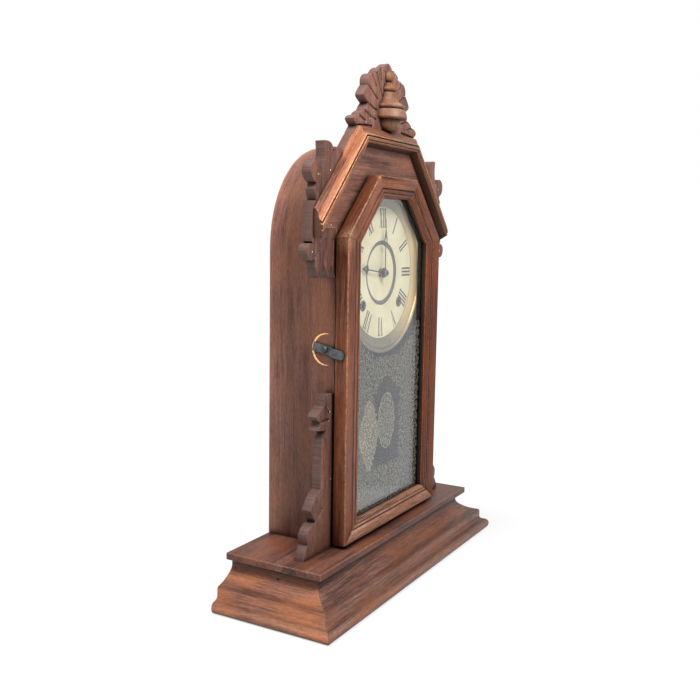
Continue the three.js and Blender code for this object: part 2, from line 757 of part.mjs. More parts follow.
function addTrain() {
  const centre = [0, dial.z];
  const upright = Math.PI / 2;
  const third = [0, centre[1] + centreDistance(train.centre)];
  const escape = [0, third[1] + centreDistance(train.third)];
  const { great } = train;

  // The great wheels turn loose on the winding arbors.
  const drop = centre[1] - winding.z;
  const toCentre = Math.atan2(drop, -winding.x);
  const bore = (x) => barY(x, winding.z, winding.arborR + gap, 25, 40, 16);
  const timeWheel = gear(winding.x, winding.z, great.teeth, great.module, toCentre, great.y);
  add("time_great_wheel", cut(timeWheel, bore(winding.x)), "brass");
  const strikeLayer = [32.6, 34.1];
  const strikeWheel = gear(-winding.x, winding.z, great.teeth, great.module, 0, strikeLayer);
  add("strike_great_wheel", cut(strikeWheel, bore(-winding.x)), "brass");

  const pinionPointing = toCentre + Math.PI + halfTooth(great.pinion);
  const cannonPointing = halfTooth(train.minute.pinion);
  add(
    "centre_wheel",
    join(
      barY(...centre, 1.2, -15, 37.7, 12),
      gear(...centre, train.centre.teeth, train.centre.module, upright, train.centre.y),
      gear(...centre, great.pinion, great.module, pinionPointing, [great.y[0] - 0.3, great.y[1] + 0.3]),
      gear(...centre, train.minute.pinion, train.minute.module, cannonPointing, train.minute.y),
    ),
    "brass",
  );
  const facingDown = -upright;
  add(
    "third_wheel",
    join(
      barY(...third, 0.9, plates.front + 0.2, 39.2, 10),
      gear(...third, train.third.teeth, train.third.module, upright, train.third.y),
      gear(
        ...third,
        train.centre.pinion,
        train.centre.module,
        facingDown + halfTooth(train.centre.pinion),
        [train.centre.y[0] - 0.4, train.centre.y[1] + 0.4],
      ),
    ),
    "brass",
  );
  // Pointed, leaning teeth.
  const spikes = [];
  const lean = 0.08;
  for (let i = 0; i < train.escape.teeth; i += 1) {
    const a = (i * 2 * Math.PI) / train.escape.teeth;
    const tip = train.escape.radius;
    const root = tip - 2.2;
    spikes.push([tip * Math.cos(a), tip * Math.sin(a)]);
    spikes.push([root * Math.cos(a + lean), root * Math.sin(a + lean)]);
  }
  add(
    "escape_wheel",
    join(
      barY(...escape, 0.8, plates.front + 0.2, 39.2, 10),
      board(path(spikes), ...train.escape.y).translate(escape[0], 0, escape[1]),
      gear(
        ...escape,
        train.third.pinion,
        train.third.module,
        facingDown + halfTooth(train.third.pinion),
        [train.third.y[0] - 0.4, train.third.y[1] + 0.4],
      ),
    ),
    "brass",
  );

  // Motion work in front of the plate: the minute wheel lies to the left of the centre.
  const side = [-centreDistance(train.minute), dial.z];
  add(
    "minute_wheel",
    cut(
      join(
        gear(...side, train.minute.teeth, train.minute.module, 0, train.minute.y),
        gear(...side, train.hour.pinion, train.hour.module, 0, [train.hour.y[0], train.minute.y[0] + 0.2]),
      ),
      barY(...side, 1.2, 0, 20, 12),
    ),
    "brass",
  );
  const hourPointing = Math.PI + halfTooth(train.hour.teeth);
  add(
    "hour_wheel",
    cut(
      join(
        gear(...centre, train.hour.teeth, train.hour.module, hourPointing, train.hour.y),
        barY(...centre, 3.1, handPlane.hour - 0.2, train.hour.y[0] + 0.3, 20),
      ),
      barY(...centre, 1.6, -20, 20, 16),
    ),
    "brass",
  );
  return { third, escape, side };
}

// Flat spiral ribbon of even pitch, extruded along Y.
function spiral(x, z, inner, outer, width, turns, front, back) {
  const perTurn = 16;
  const steps = turns * perTurn;
  const edge = (offset) =>
    Array.from({ length: steps + 1 }, (_, i) => {
      const a = (i / perTurn) * 2 * Math.PI;
      const r = inner + ((outer - inner) * i) / steps + offset;
      return [r * Math.cos(a), r * Math.sin(a)];
    });
  return board([...edge(0), ...edge(width).reverse()], front, back).translate(x, 0, z);
}

function addMovement() {
  const { third, escape, side } = addTrain();
  const outline = [
    [-72, 226],
    [72, 226],
    [72, 300],
    [52, 377],
    [-52, 377],
    [-72, 300],
  ];
  const hammerPivot = [-50, 231.5];
  const pivots = (grow) => [
    circle(...third, 0.9 + grow),
    circle(...escape, 0.8 + grow),
    ...[-winding.x, winding.x].map((x) => circle(x, winding.z, winding.arborR + grow)),
  ];
  const posts = [
    [-66, 232],
    [66, 232],
    [-45, 368],
    [45, 368],
  ];
  // The front plate carries the minute wheel's post and the stud that the pendulum hangs from.
  const { y, pivotZ, loopR } = pendulum;
  const verge = [0, pivotZ];
  add(
    "front_plate",
    join(
      board(outline, plates.front, plates.frontBack, {
        holes: [...pivots(gap), circle(0, dial.z, 1.2 + gap), circle(...verge, 1.3)],
        curveSegments: 8,
      }),
      barY(...side, 0.9, plates.front - 4.6, plates.front + 0.5, 10),
      barY(...verge, 0.9, y - 1.6, y + 1.1, 10),
      block(-2, 2, y - 2.6, y - 1.1, pivotZ - 2, pivotZ + 7.5),
      block(-2, 2, y - 2.6, plates.front + 0.5, pivotZ + 5, pivotZ + 7.5),
    ),
    "brass",
  );
  add(
    "back_plate",
    join(
      board(outline, plates.back, plates.backBack, {
        holes: [circle(...third, 1.2), circle(...escape, 1.1), circle(...hammerPivot, 1.9)],
        curveSegments: 8,
      }),
      ...posts.map(([x, z]) => barY(x, z, 2.6, plates.frontBack + gap, plates.back + 0.5, 10)),
    ),
    "brass",
  );
  add("movement_seat", block(-60, 60, plates.backBack + gap, backBoard.front - gap, 236, 256), "darkWood");
  [-1, 1].forEach((s) => {
    const x = s * winding.x;
    const word = s > 0 ? "time" : "strike";
    const square = 1.75;
    add(
      word + "_winding_arbor",
      join(
        barY(x, winding.z, winding.arborR, 4, plates.back - gap, 16),
        block(x - square, x + square, dial.front + 0.4, 4.5, winding.z - square, winding.z + square),
      ),
      "steel",
    );
    add(word + "_mainspring", spiral(x, winding.z, 5, 22, 1, 5, 16, 27), "steel");
  });

  // Verge: pallets over the escape wheel, an arbor through the front plate, and the crutch before
  // it, whose two pins stand on either side of the pendulum rod.
  const pallets = [
    [-2, 2],
    [-12.6, -5.5],
    [-13.6, -9.6],
    [-12, -10.2],
    [-11, -6.6],
    [0, -1.8],
    [11, -6.6],
    [12, -10.2],
    [13.6, -9.6],
    [12.6, -5.5],
    [2, 2],
  ];
  const crutchFoot = -30;
  const pin = (side) => block(side - 0.5, side + 0.5, y - 1.2, 7, crutchFoot - 1, crutchFoot);
  add(
    "verge",
    join(
      barY(0, 0, 1, 6.4, 17.2, 10),
      board(pallets, ...train.escape.y),
      block(-0.8, 0.8, 6.4, 7.2, crutchFoot + 0.5, 0.5),
      block(-2.1, 2.1, 6.4, 7.2, crutchFoot - 1, crutchFoot + 1),
      pin(-1.6),
      pin(1.6),
    ).translate(0, 0, pivotZ),
    "steel",
  );

  // Pendulum rod: an eye at its top, a loop round the centre arbor, and a hook in the bob.
  const rodHalf = 0.7;
  const rodFoot = pendulum.bobZ + pendulum.bobRise - 2;
  const ringAt = (z, inner, outer) => ring(0, z, inner, outer, y - rodHalf, y + rodHalf, 12);
  const straight = (z0, z1) => block(-rodHalf, rodHalf, y - rodHalf, y + rodHalf, z0, z1);
  add(
    "pendulum_rod",
    join(
      ringAt(pivotZ, 1.3, 2.9),
      straight(dial.z + loopR - 0.4, pivotZ - 2.4),
      ringAt(dial.z, loopR - 0.7, loopR + 0.7),
      straight(rodFoot, dial.z - loopR + 0.4),
    ),
    "brass",
  );
  // Ornamental bob: a leaf-shaped shield with a crown at the top and a point below.
  const bobOutline = [
    [-1.6, 36],
    [-5, 35, -6, 31],
    [-9, 30, -9.4, 25],
    [-13, 22, -14, 17],
    [-19.6, 12, -19.6, 2],
    [-19.4, -9, -13.6, -14],
    [-12.6, -20, -8, -24],
    [-6.6, -31, -1.4, -35],
  ];
  const bobLeft = bobOutline.slice(1);
  const bobRight = bobLeft
    .map((p, i) => {
      const end = bobOutline[i].slice(-2);
      return [-p[0], p[1], -end[0], end[1]];
    })
    .reverse();
  const bob = [...bobOutline, [1.4, -35], ...bobRight];
  const slot = block(-1.1, 1.1, y - 1.1, y + 1.1, rodFoot - gap, 200);
  const body = board(bob, y - 2.2, y + 2.2).translate(0, 0, pendulum.bobZ);
  add("pendulum_bob", cut(body, slot), "brass");

  // Coil gong on a block at the back board, and the strike hammer beside it.
  const gongY = 45;
  add(
    "gong",
    join(
      spiral(0, 150, 6, 36, 2, 4, gongY - 1, gongY + 1),
      barY(0, 150, 8, gongY - 1.5, backBoard.front - gap, 16),
    ),
    "iron",
  );
  add(
    "strike_hammer",
    join(
      barY(0, 0, 1.6, 35, 46.4, 10),
      board(
        [
          [-0.8, 0],
          [0.8, 0],
          [8.8, -70],
          [7.2, -70],
        ],
        gongY - 0.8,
        gongY + 0.8,
      ),
      new THREE.CylinderGeometry(4, 4, 9, 12).rotateZ(Math.PI / 2).translate(8.2, gongY, -71.5),
    ).translate(hammerPivot[0], 0, hammerPivot[1]),
    "iron",
  );
}

addBase();
addCase();
addSawnWork();
addRoof();
addDoor();
addHinges();
addLatch();
addDial();
addHands();
addMovement();

export default clock;
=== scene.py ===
import math
import random

import bmesh
import bpy
from mathutils import Matrix, Vector


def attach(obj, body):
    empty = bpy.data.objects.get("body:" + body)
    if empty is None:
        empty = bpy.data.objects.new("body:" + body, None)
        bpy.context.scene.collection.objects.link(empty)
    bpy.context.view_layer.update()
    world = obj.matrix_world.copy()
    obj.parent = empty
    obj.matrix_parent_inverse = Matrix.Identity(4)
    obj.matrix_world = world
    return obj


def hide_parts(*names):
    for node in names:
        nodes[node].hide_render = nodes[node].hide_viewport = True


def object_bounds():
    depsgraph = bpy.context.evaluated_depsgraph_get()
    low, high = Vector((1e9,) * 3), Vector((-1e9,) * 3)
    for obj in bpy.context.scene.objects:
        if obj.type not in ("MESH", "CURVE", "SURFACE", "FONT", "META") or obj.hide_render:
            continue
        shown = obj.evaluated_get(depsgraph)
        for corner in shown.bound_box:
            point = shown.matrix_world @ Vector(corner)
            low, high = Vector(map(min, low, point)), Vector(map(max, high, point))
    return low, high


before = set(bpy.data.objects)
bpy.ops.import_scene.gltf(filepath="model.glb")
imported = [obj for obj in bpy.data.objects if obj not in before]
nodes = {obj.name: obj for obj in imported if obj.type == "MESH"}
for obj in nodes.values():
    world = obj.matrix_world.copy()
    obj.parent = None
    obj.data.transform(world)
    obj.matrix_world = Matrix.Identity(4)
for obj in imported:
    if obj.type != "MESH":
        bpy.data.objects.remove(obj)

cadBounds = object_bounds()
scene = bpy.context.scene
mm = 0.001
backward, across, upright = (0, 1, 0), (1, 0, 0), (0, 0, 1)


def outward(bm):
    bmesh.ops.recalc_face_normals(bm, faces=bm.faces)
    return bm


def outlinePoints(points, steps=8):
    # corners are (x, z); a curved stretch is (control x, control z, x, z)
    made = []
    for p in points:
        if len(p) == 2:
            made.append(p)
            continue
        x0, z0 = made[-1]
        cx, cz, x1, z1 = p
        for i in range(1, steps + 1):
            t = i / steps
            a, b, c = (1 - t) ** 2, 2 * t * (1 - t), t * t
            made.append((a * x0 + b * cx + c * x1, a * z0 + b * cz + c * z1))
    return made


def mirroredPoints(points):
    return [tuple(-v if i % 2 == 0 else v for i, v in enumerate(p)) for p in points]


def vertsIn(made):
    return [v for v in made["geom"] if isinstance(v, bmesh.types.BMVert)]


def thickened(bm, faces, move):
    made = bmesh.ops.extrude_face_region(bm, geom=faces)
    bmesh.ops.translate(bm, verts=vertsIn(made), vec=Vector(move) * mm)
    return outward(bm)


def platesFrom(shapes, front, back):
    # flat plates, each a ring of (x, z) points in millimetres, from one y to another
    bm = bmesh.new()
    for ring in shapes:
        bm.faces.new([bm.verts.new((x * mm, front * mm, z * mm)) for x, z in ring])
    return thickened(bm, bm.faces[:], (0, back - front, 0))


def boardFrom(points, front, back):
    return platesFrom([points], front, back)


def blockFrom(low, high):
    bm = bmesh.new()
    size = [(h - l) * mm for l, h in zip(low, high)]
    middle = [(h + l) / 2 * mm for l, h in zip(low, high)]
    bmesh.ops.create_cube(bm, size=1, matrix=Matrix.Translation(middle) @ Matrix.Diagonal((*size, 1)))
    return bm


def copyOfNode(node, flat=0.6):
    bm = bmesh.new()
    bm.from_mesh(nodes[node].data)
    bmesh.ops.remove_doubles(bm, verts=bm.verts, dist=0.002 * mm)
    bmesh.ops.dissolve_limit(bm, angle_limit=math.radians(flat), verts=bm.verts, edges=bm.edges)
    return bm


def spunFrom(profile, place, axis, start, steps):
    # turned piece; the profile is (radius, distance along the axis)
    bm = bmesh.new()
    axis, start, place = Vector(axis), Vector(start), Vector(place) * mm
    verts = [bm.verts.new(place + start * r * mm + axis * d * mm) for r, d in profile]
    edges = [bm.edges.new(pair) for pair in zip(verts, verts[1:])]
    bmesh.ops.spin(bm, geom=verts + edges, cent=place, axis=axis, dvec=(0, 0, 0),
                   angle=2 * math.pi, steps=steps, use_merge=True)
    bmesh.ops.remove_doubles(bm, verts=bm.verts, dist=0.001 * mm)
    return outward(bm)


def skinned(bm, rows, closed=False):
    # a tube over rows of points, capped unless its ends meet
    for a, b in list(zip(rows, rows[1:])) + ([(rows[-1], rows[0])] if closed else []):
        for i in range(len(a)):
            j = (i + 1) % len(a)
            bm.faces.new((a[i], a[j], b[j], b[i]))
    if not closed:
        bm.faces.new(rows[0][::-1])
        bm.faces.new(rows[-1])


def easeEdges(bm, width, segments=2, sharp=28, only=None):
    # rounds the sharp edges and marks the new faces as the ones that wear
    wear = bm.faces.layers.float.get("wear") or bm.faces.layers.float.new("wear")
    edges = [e for e in bm.edges if e.is_manifold and e.calc_face_angle(0) > math.radians(sharp)]
    if only:
        edges = [e for e in edges if only(e)]
    made = bmesh.ops.bevel(bm, geom=edges, offset=width * mm, offset_type="OFFSET", segments=segments,
                           profile=0.5, affect="EDGES", clamp_overlap=True, material=-1)
    for face in made["faces"]:
        face[wear] = 1.0
    return bm


def markFaces(bm, layer, test, value=1.0):
    mark = bm.faces.layers.float.get(layer) or bm.faces.layers.float.new(layer)
    bm.normal_update()
    for face in bm.faces:
        if test(face):
            face[mark] = value
    return bm


def joined(*parts):
    bm = bmesh.new()
    for part in parts:
        loose = bpy.data.meshes.new("loose")
        part.to_mesh(loose)
        part.free()
        bm.from_mesh(loose)
        bpy.data.meshes.remove(loose)
    return bm


def carved(bm, cutter):
    # bm with the cutter taken away
    pair = []
    for part in (bm, cutter):
        mesh = bpy.data.meshes.new("carving")
        part.to_mesh(mesh)
        part.free()
        pair.append(bpy.data.objects.new("carving", mesh))
        scene.collection.objects.link(pair[-1])
    change = pair[0].modifiers.new("cut", "BOOLEAN")
    change.operation, change.solver, change.object = "DIFFERENCE", "EXACT", pair[1]
    change.use_self = True
    done = pair[0].evaluated_get(bpy.context.evaluated_depsgraph_get())
    result = bmesh.new()
    result.from_mesh(done.to_mesh())
    done.to_mesh_clear()
    for obj in pair:
        mesh = obj.data
        bpy.data.objects.remove(obj)
        bpy.data.meshes.remove(mesh)
    return result


def addPiece(name, bm, material, body, stands=(), smooth=32):
    mesh = bpy.data.meshes.new(name)
    bm.to_mesh(mesh)
    bm.free()
    mesh.polygons.foreach_set("use_smooth", [True] * len(mesh.polygons))
    mesh.set_sharp_from_angle(angle=math.radians(smooth))
    mesh.materials.append(bpy.data.materials[material])
    piece = bpy.data.objects.new(name, mesh)
    scene.collection.objects.link(piece)
    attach(piece, body)
    if stands:
        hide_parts(*stands)


def grey(value):
    return (value, value, value)


class Graph:
    # a node tree, with short ways to add to it

    def __init__(self, owner):
        owner.use_nodes = True
        self.owner, self.tree = owner, owner.node_tree
        self.tree.nodes.clear()

    def node(self, kind, values, **settings):
        made = self.tree.nodes.new("ShaderNode" + kind)
        for key, value in settings.items():
            setattr(made, key, value)
        for key, value in values.items():
            entry = made.inputs[key]
            if isinstance(value, bpy.types.NodeSocket):
                self.tree.links.new(value, entry)
            else:
                entry.default_value = (*value, 1) if entry.type == "RGBA" else value
        return made.outputs

    def calc(self, operation, a, b):
        return self.node("Math", {0: a, 1: b}, operation=operation)[0]

    def times(self, a, b):
        return self.calc("MULTIPLY", a, b)

    def plus(self, a, b):
        return self.calc("ADD", a, b)

    def minus(self, a, b):
        return self.calc("SUBTRACT", a, b)

    def vector(self, operation, a, b=(0, 0, 0), output="Vector"):
        return self.node("VectorMath", {0: a, 1: b}, operation=operation)[output]

    def part(self, vector, letter):
        return self.node("SeparateXYZ", {0: vector})[letter]

    def mark(self, name):
        return self.node("Attribute", {}, attribute_name=name)["Fac"]

    def levels(self, value, low, high, top=1.0, bottom=0.0, bend="LINEAR"):
        # from bottom to top while the value goes from low to high
        return self.node("MapRange", {"Value": value, "From Min": low, "From Max": high,
                                      "To Min": bottom, "To Max": top}, interpolation_type=bend)["Result"]

    def mixed(self, factor, a, b, blend="MIX"):
        return self.node("Mix", {0: factor, 6: a, 7: b}, data_type="RGBA", blend_type=blend)[2]

    def tinted(self, a, b, factor=1.0):
        return self.mixed(factor, a, b, "MULTIPLY")

    def ramped(self, factor, stops):
        made = self.tree.nodes.new("ShaderNodeValToRGB")
        self.tree.links.new(factor, made.inputs["Fac"])
        ends = made.color_ramp.elements
        for stop, (position, colour) in zip((ends[0], ends[1]), (stops[0], stops[-1])):
            stop.position, stop.color = position, (*colour, 1.0)
        for position, colour in stops[1:-1]:
            ends.new(position).color = (*colour, 1.0)
        return made.outputs["Color"]

    def place(self, kind="Object"):
        return self.node("TexCoord", {})[kind]

    def grainSpace(self, turn=(0, 0, 0), shift=(0, 0, 0), uv=False):
        # in millimetres, with the grain along Z; a wrapped UV is in millimetres already
        scaled = self.node("Mapping", {"Vector": self.place("UV" if uv else "Object"),
                                       "Scale": grey(1.0 if uv else 1 / mm)})[0]
        return self.node("Mapping", {"Vector": scaled, "Rotation": [math.radians(a) for a in turn],
                                     "Location": shift})[0]

    def noise(self, space, wide, long, detail=3.0, distortion=0.0, roughness=0.55):
        # features of about so many millimetres across and along the grain
        scaled = self.node("Mapping", {"Vector": space, "Scale": (1 / wide, 1 / wide, 1 / long)})[0]
        return self.node("TexNoise", {"Vector": scaled, "Scale": 1.0, "Detail": detail,
                                      "Distortion": distortion, "Roughness": roughness})["Fac"]

    def grimedAndShaded(self, colour, reach, low, high, dirtAndShade):
        # painted shade from ambient occlusion, with some grime: darker in hollows and where pieces meet
        clear = self.node("AmbientOcclusion", {"Distance": reach * mm}, samples=8)["AO"]
        return self.mixed(self.levels(clear, low, high), self.tinted(colour, dirtAndShade), colour)

    def bump(self, height, strength, depth):
        return self.node("Bump", {"Height": height, "Strength": strength, "Distance": depth * mm})["Normal"]

    def blended(self, factor, a, b):
        return self.node("MixShader", {0: factor, 1: a, 2: b})[0]

    def shownAs(self, shader, output="OutputMaterial"):
        self.node(output, {"Surface": shader})
        return self.owner

    def principled(self, colour, roughness, normal, **more):
        return self.shownAs(self.node("BsdfPrincipled", {
            "Base Color": colour, "Roughness": roughness, "Normal": normal,
            **{key.replace("_", " "): value for key, value in more.items()}})[0])


def newMaterial(name):
    return Graph(bpy.data.materials.new(name))


# dark, middle and pale grain, the tint in patches, worn-through wood, roughness
walnutLooks = {
    "case": ((0.070, 0.030, 0.023), (0.135, 0.061, 0.046), (0.215, 0.104, 0.080),
             (0.190, 0.078, 0.047), (0.36, 0.20, 0.14), 0.50),
    "door": ((0.069, 0.017, 0.009), (0.186, 0.055, 0.026), (0.343, 0.123, 0.060),
             (0.255, 0.069, 0.024), (0.80, 0.48, 0.27), 0.42),
    "redDoor": ((0.052, 0.012, 0.006), (0.110, 0.026, 0.011), (0.200, 0.062, 0.026),
                (0.165, 0.038, 0.012), (0.60, 0.30, 0.16), 0.42),
    "roof": ((0.085, 0.026, 0.015), (0.280, 0.108, 0.056), (0.450, 0.215, 0.130),
             (0.350, 0.120, 0.055), (0.62, 0.38, 0.20), 0.42),
    "ornament": ((0.040, 0.019, 0.015), (0.098, 0.046, 0.035), (0.170, 0.085, 0.065),
                 (0.130, 0.055, 0.036), (0.50, 0.34, 0.25), 0.52),
    "base": ((0.095, 0.036, 0.022), (0.215, 0.092, 0.058), (0.330, 0.160, 0.105),
             (0.320, 0.115, 0.050), (0.56, 0.34, 0.22), 0.45),
    # painted shade: front is a darker copy of the base look, for the base's front faces
    "front": ((0.055, 0.026, 0.021), (0.135, 0.066, 0.050), (0.260, 0.135, 0.098),
              (0.210, 0.078, 0.042), (0.50, 0.32, 0.22), 0.45),
    "top": ((0.040, 0.018, 0.015), (0.120, 0.050, 0.037), (0.210, 0.098, 0.074),
            (0.200, 0.068, 0.034), (0.50, 0.33, 0.25), 0.42),
    # painted light: rail is a paler copy of the door look, for the bottom rail that faces up
    "rail": ((0.100, 0.042, 0.024), (0.290, 0.130, 0.082), (0.440, 0.235, 0.160),
             (0.330, 0.135, 0.070), (0.62, 0.42, 0.30), 0.48),
    "turned": ((0.130, 0.054, 0.032), (0.280, 0.132, 0.080), (0.440, 0.240, 0.160),
               (0.300, 0.120, 0.060), (0.60, 0.40, 0.28), 0.40),
    # partly painted shade: inside is a dark copy of the case wood, for the inside of the case
    "inside": ((0.035, 0.021, 0.015), (0.075, 0.045, 0.031), (0.130, 0.080, 0.055),
               (0.090, 0.050, 0.030), (0.20, 0.13, 0.09), 0.75),
}


def walnut(name, kind, turn=(0, 0, 0), shift=(0, 0, 0), uv=False, figure=1.0, worn=0.75,
           porous=0.6, shadow=None, crisp=0.14, rubs=(), paintedTopLight=None, toneAndLightLevel=1.0):
    # old varnished walnut: streaks, fibres and pores along the grain, pale worn edges, hollows darkened by grime and
    # painted shade
    *colours, rough = walnutLooks[kind]
    # colours scaled per piece: partly the piece's own tone, partly painted light and shade for how much light reaches
    # it
    dark, middle, pale, tint, wearTo = (tuple(toneAndLightLevel * c for c in colour) for colour in colours)
    g = newMaterial(name)
    space = g.grainSpace(turn, shift, uv)
    bands = g.noise(space, 14, 240, 3.0, 0.8)
    streaks = g.noise(space, 2.6, 70, 4.0, 0.5, 0.62)
    fibres = g.noise(space, 0.9, 22, 3.0, 0.0, 0.65)
    grain = g.noise(space, 1.0, 4.5, 2.0, 0.1, 0.7)
    pores = g.noise(space, 0.7, 9.0, 1.0)
    mottle = g.noise(space, 26, 55, 2.0)
    specks = g.noise(space, 1.5, 2.4, 2.0, 0.3, 0.7)
    tone = g.plus(g.times(bands, 0.42 * figure), g.times(streaks, 0.36))
    tone = g.minus(g.plus(tone, g.times(fibres, 0.78 - 0.42 * figure)), 0.07)
    tone = g.levels(tone, 0.5 - crisp, 0.5 + crisp)
    colour = g.ramped(tone, [(0.0, dark), (0.5, middle), (1.0, pale)])
    colour = g.mixed(g.levels(mottle, 0.42, 0.72), colour, tint)
    fleck = g.mixed(g.levels(grain, 0.30, 0.70), grey(1 - 0.50 * porous), grey(1 + 0.45 * porous))
    colour = g.tinted(colour, fleck)
    here = g.node("VectorMath", {0: g.place(), "Scale": 1 / mm}, operation="SCALE")[0]
    if shadow:
        # painted shade and light: darker and paler stretches, by depth on the bent case, by height on the rest
        low, high = shadow[0][0], shadow[-1][0]
        reach = g.part(space, "X") if uv else g.part(here, "Z")
        reach = g.plus(reach, g.times(mottle, 16.0 if uv else 2.4))
        stops = [((d - low) / (high - low), grey(v)) for d, v in shadow]
        colour = g.tinted(colour, g.tinted(g.ramped(g.levels(reach, low, high), stops), grey(2.0)))
    if paintedTopLight:
        # painted light: paler above a height, as if lit from above
        low, high, gain = paintedTopLight
        litColour = g.tinted(colour, (gain, 0.97 * gain, 0.9 * gain))
        colour = g.mixed(g.levels(g.part(here, "Z"), low, high), colour, litColour)
    colour = g.mixed(g.levels(pores, 0.58, 0.68, 0.8 * porous), colour, [0.5 * c for c in dark])

    edge = g.mark("wear")
    for spot, radius in rubs:
        gap = g.vector("DISTANCE", here, spot, "Value")
        edge = g.calc("MAXIMUM", edge, g.levels(gap, radius, 0.0, 0.9))
    rubbed = g.times(edge, g.levels(specks, 0.34, 0.62))
    scuffs = g.levels(specks, 0.70, 0.78, 0.5)
    colour = g.mixed(g.times(g.calc("MAXIMUM", rubbed, scuffs), worn), colour, wearTo)
    # sawn walls and ends: greyer, with saw lines across them
    sawn = g.mark("sawn")
    lines = g.noise(space, 70, 0.9, 1.0, 0.0, 0.5)
    kerf = g.ramped(g.levels(lines, 0.30, 0.70), [
        (0.0, [0.5 * v + 0.004 for v in middle]), (1.0, [0.55 * v + 0.04 for v in middle])])
    colour = g.mixed(g.times(sawn, 0.8), colour, kerf)
    # painted shade and grime in hollows and where pieces meet
    colour = g.grimedAndShaded(colour, 7.0, 0.30, 0.92, (0.14, 0.11, 0.10))
    # the rebates, inner walls and other marked faces are blackened: partly black stain, partly painted shade
    black = g.mixed(fibres, (0.006, 0.005, 0.004), (0.030, 0.022, 0.018))
    colour = g.mixed(g.mark("soot"), colour, black)

    height = g.plus(g.times(fibres, 0.7), g.times(streaks, 0.8))
    height = g.minus(height, g.levels(pores, 0.55, 0.75, 0.6))
    height = g.plus(height, g.times(g.times(sawn, lines), 0.5))
    return g.principled(colour, g.plus(rough - 0.12, g.times(streaks, 0.24)),
                        g.bump(height, 0.5, 0.22), Specular_IOR_Level=0.16)


def metal(name, colour, dark, rough, grain=(2.0, 2.0), turn=(0, 0, 0), stain=0.5, bump=0.25,
          uv=False, giltAndReflection=None, metallic=1.0):
    # a tarnished tone over a brushed or cast surface
    g = newMaterial(name)
    space = g.grainSpace(turn, (13, 7, 3), uv)
    cloud = g.noise(space, 9, 9, 4.0, 0.5)
    fine = g.noise(space, *grain, 3.0, 0.0, 0.7)
    tone = g.mixed(g.levels(cloud, 0.42, 0.66, stain), colour, dark)
    tone = g.tinted(tone, g.mixed(fine, grey(0.55), grey(1.4)), 0.5)
    if giltAndReflection:
        # painted reflection, partly the brass's own gold: golden on the right of the ring, grey elsewhere
        along = g.part(g.place("UV"), "X")
        golden = g.times(g.levels(along, -95, -25), g.levels(along, 90, 30))
        tone = g.mixed(golden, tone, giltAndReflection)
    # tarnish and painted shade in the hollows
    tone = g.grimedAndShaded(tone, 2.5, 0.3, 0.95, (0.25, 0.22, 0.2))
    return g.principled(tone, g.plus(rough - 0.08, g.times(fine, 0.16)), g.bump(fine, bump, 0.08),
                        Metallic=metallic)


def paperFace():
    g = newMaterial("dialPaper")
    space = g.grainSpace(shift=(5, 0, 9))
    cloud = g.noise(space, 34, 34, 3.0, 0.6)
    fibre = g.noise(space, 0.9, 0.9, 3.0)
    spots = g.noise(space, 3.2, 3.2, 2.0)
    colour = g.ramped(g.levels(cloud, 0.36, 0.66), [
        (0.0, (0.92, 0.86, 0.65)), (0.5, (0.87, 0.80, 0.57)), (1.0, (0.80, 0.72, 0.50))])
    colour = g.mixed(g.levels(spots, 0.70, 0.80, 0.35), colour, (0.45, 0.36, 0.22))
    colour = g.tinted(colour, g.mixed(fibre, grey(0.82), grey(1.12)), 0.35)
    return g.principled(colour, 0.82, g.bump(fibre, 0.2, 0.05))


def printedInk(name, colour):
    g = newMaterial(name)
    thin = g.noise(g.grainSpace(shift=(1, 2, 3)), 1.3, 1.3, 3.0)
    tone = g.mixed(g.levels(thin, 0.45, 0.75), colour, [2.2 * c + 0.02 for c in colour])
    return g.principled(tone, 0.62, g.bump(thin, 0.2, 0.03))


def doorGlass():
    # old sheet glass: clear, a little wavy and dusty
    g = newMaterial("doorGlass")
    space = g.grainSpace()
    waves = g.noise(space, 22, 38, 2.0)
    dust = g.noise(space, 1.1, 1.6, 3.0, 0.0, 0.7)
    # the ray passes straight through, so the far side of the sheet needs the inverse index
    behind = g.node("NewGeometry", {})["Backfacing"]
    index = g.minus(1.5, g.times(behind, 1.5 - 1 / 1.5))
    clear = g.node("BsdfTransparent", {"Color": (0.97, 0.965, 0.945)})[0]
    gloss = g.node("BsdfGlossy", {
        "Color": (0.86, 0.92, 0.98), "Roughness": 0.0, "Normal": g.bump(waves, 0.05, 0.10)})[0]
    film = g.node("BsdfDiffuse", {"Color": (0.55, 0.56, 0.55)})[0]
    body = g.blended(g.node("Fresnel", {"IOR": index})[0], clear, gloss)
    return g.shownAs(g.blended(g.levels(dust, 0.45, 0.85, 0.06), body, film))


print("materials")
# painted shade and light: the case side darker over its middle and paler at its rear edge; the base mouldings darker
# at the foot, in the quirks and under the top board
caseShade = [(36, 0.50), (52, 0.50), (66, 0.41), (80, 0.42), (92, 0.60), (105, 1.0)]
mouldingShade = [(0, 0.40), (3, 0.58), (8.4, 0.56), (11, 0.30), (14, 0.44), (16, 0.58), (21.4, 0.56),
           (23.6, 0.28), (26, 0.44), (31, 0.56), (35.4, 0.46), (38, 0.20), (42.6, 0.10)]
flat, deep = (0, 90, 0), (90, 0, 0)  # turns for grain that runs across or front to back
walnut("caseWalnut", "case", deep, (3, 0, 9), uv=True, porous=0.5, shadow=caseShade, toneAndLightLevel=0.89,
       paintedTopLight=(260, 380, 1.16))
